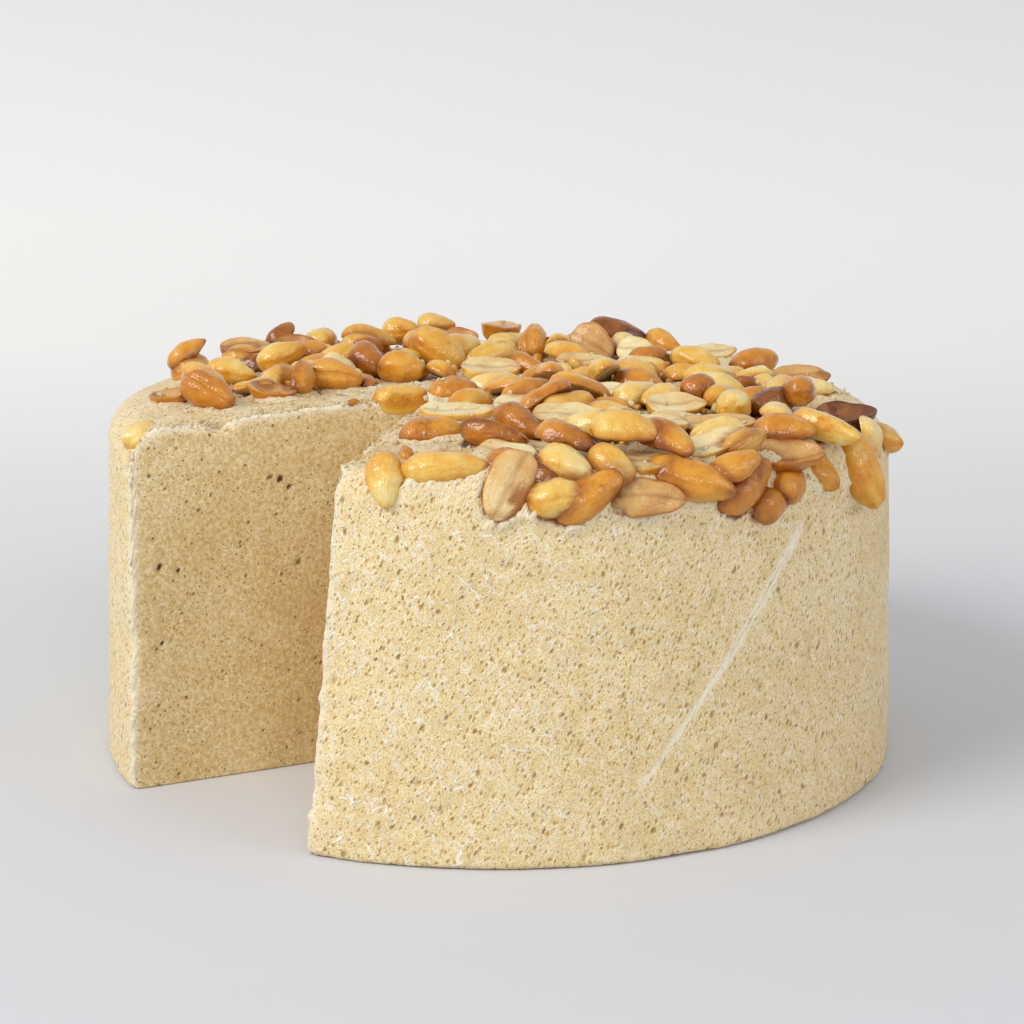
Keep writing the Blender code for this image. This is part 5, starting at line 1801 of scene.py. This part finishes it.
# %% Paste material
# Soft crumbly halva, paler than the skin and a little greasy, soaked amber by the syrup that the peanuts
# were glazed with where they touch it, and darkened there as painted shade of the gaps between the peanuts.
paste_skin = new_material("soft_halva_paste")
tree = paste_skin.node_tree
place = add_node(tree, "ShaderNodeTexCoord").outputs["Object"]
grit = {"Vector": place, "Scale": 0.9 / MM, "Detail": 4.0, "Roughness": 0.7}
grit = add_node(tree, "ShaderNodeTexNoise", grit)
cloud = add_node(tree, "ShaderNodeTexNoise", {"Vector": place, "Scale": 0.09 / MM, "Detail": 3.0})
crumb = sandy(
    tree,
    grit,
    ((0.3, "#D6C094"), (0.7, "#F6EACC")),
    cloud,
    ((0.35, "#EAD3AC"), (0.6, "#FFFFFF")),
)
soaked_and_shaded = add_node(tree, "ShaderNodeAttribute", attribute_name="syrup_and_shade").outputs["Fac"]
soaked_and_shaded = add_node(tree, "ShaderNodeMapRange", between(soaked_and_shaded, 0.1, 0.7), **SOFT)
crumb = soaked_in_syrup(tree, crumb, soaked_and_shaded)
height = raised(tree, ((grit, 0.9),))
dry = add_node(tree, "ShaderNodeMapRange", between(soaked_and_shaded, 1.0, 0.0, 0.25, 1.0), **SOFT)
bump = add_node(tree, "ShaderNodeBump", {"Height": height, "Distance": MM, "Strength": dry})
sheen = add_node(tree, "ShaderNodeMapRange", between(soaked_and_shaded, 0.0, 1.0, 0.55, 0.12), **SOFT)
surface = add_node(
    tree,
    "ShaderNodeBsdfPrincipled",
    {"Base Color": crumb, "Roughness": sheen, "Normal": bump, "IOR": 1.45},
)
add_node(tree, "ShaderNodeOutputMaterial", {"Surface": surface})
paste_mesh.materials.append(paste_skin)
print("paste nodes:", len(tree.nodes))

# %% [markdown]
# ## Crumbs
# The knife and the hands left crumbs of halva along the cuts and chips of peanut in the gaps. Each is
# a lump of a few dozen faces, dropped from above onto whatever lies under it: a ray finds the height.
# The scatter tree that made the peanuts copies them too.

# %% Crumbs
CRUMB_RINGS = 5
CRUMB_SIDES = 8
BED_TRIES = 1300
CUT_TRIES = 420
CHIP_TRIES = 380


def crumb_section(x):
    turns = np.linspace(0, 2 * math.pi, CRUMB_SIDES, endpoint=False)
    wide = math.sqrt(1 - x * x)
    return wide * np.cos(turns), wide * np.sin(turns), turns * 0


kernels["crumb"] = kernel_mesh("crumb", crumb_section, CRUMB_RINGS)
graph = bpy.context.evaluated_depsgraph_get()
surfaces = [
    BVHTree.FromObject(thing, graph)
    for thing in bpy.context.collection.objects
    if thing.name.endswith("_peanuts") or thing in (paste, halva_body)
]
draw = np.random.default_rng(11)


def dropped(rows, x, y, size, roast, highest):
    """Adds a crumb of some size in mm where a drop from above lands, if that is low enough."""
    hits = [surface.ray_cast(Vector((x, y, 0.2)), Vector((0, 0, -1)))[0] for surface in surfaces]
    heights = [hit.z for hit in hits if hit is not None and hit.z > 0.07]
    if heights and max(heights) < top_height(x, y) + highest:
        turning = peanut_turn(*draw.uniform(-180, 180, 3))
        scale = Vector((1.0, draw.uniform(0.6, 0.9), draw.uniform(0.5, 0.8))) * size * MM / 2
        rows.append((turning, scale, np.array([x, y, max(heights) + 0.1 * size * MM]), roast))


halva_crumbs, peanut_chips = [], []
for _ in range(BED_TRIES):
    x, y = draw.uniform(-WHEEL_RADIUS, WHEEL_RADIUS, 2)
    if in_bed(x, y):
        highest = 3 * MM if draw.random() < 0.98 else 12 * MM
        dropped(halva_crumbs, x, y, 0.7 + 1.8 * draw.beta(1.2, 3), 0.5, highest)
for _ in range(CUT_TRIES):
    on_first = draw.random() < 0.7
    line, inward = (along_a, inward_a) if on_first else (along_b, inward_b)
    inset = (0.5 + 7 * draw.beta(0.5, 2.4)) * MM if on_first else (0.6 + 4 * draw.beta(1, 2)) * MM
    x, y = Vector(CUT_CORNER) + line * draw.uniform(2, 84) * MM + inward * inset
    dropped(halva_crumbs, x, y, 0.5 + 1.3 * draw.beta(1.2, 3), 0.5, 12 * MM)
for _ in range(CHIP_TRIES):
    x, y = draw.uniform(-WHEEL_RADIUS, WHEEL_RADIUS, 2)
    if in_bed(x, y, LOOSE_EDGE, LOOSE_FROM_CUT_A):
        dropped(peanut_chips, x, y, 1.4 + 4.2 * draw.beta(1.2, 2), draw.uniform(0.05, 0.5), 2 * MM)
dropped(peanut_chips, -37.4 * MM, -21.3 * MM, 3.4, 0.5, 3 * MM)
for name, rows, material, part, nudge in (
    ("halva_crumbs", halva_crumbs, paste_skin, "halva", 0.7 * MM),
    ("peanut_chips", peanut_chips, peanut, "roasted_peanut", 1.8 * MM),
):
    piece = scattered(name, rows, kernels["crumb"], material, nudge, 1.5 * nudge)
    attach(piece, "root")
    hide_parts("peanut_topping")
    print(name, len(rows))

# %% Finish
print("shapes that were only copied:", len(kernels))
for kernel in kernels.values():
    bpy.data.objects.remove(kernel, do_unlink=True)
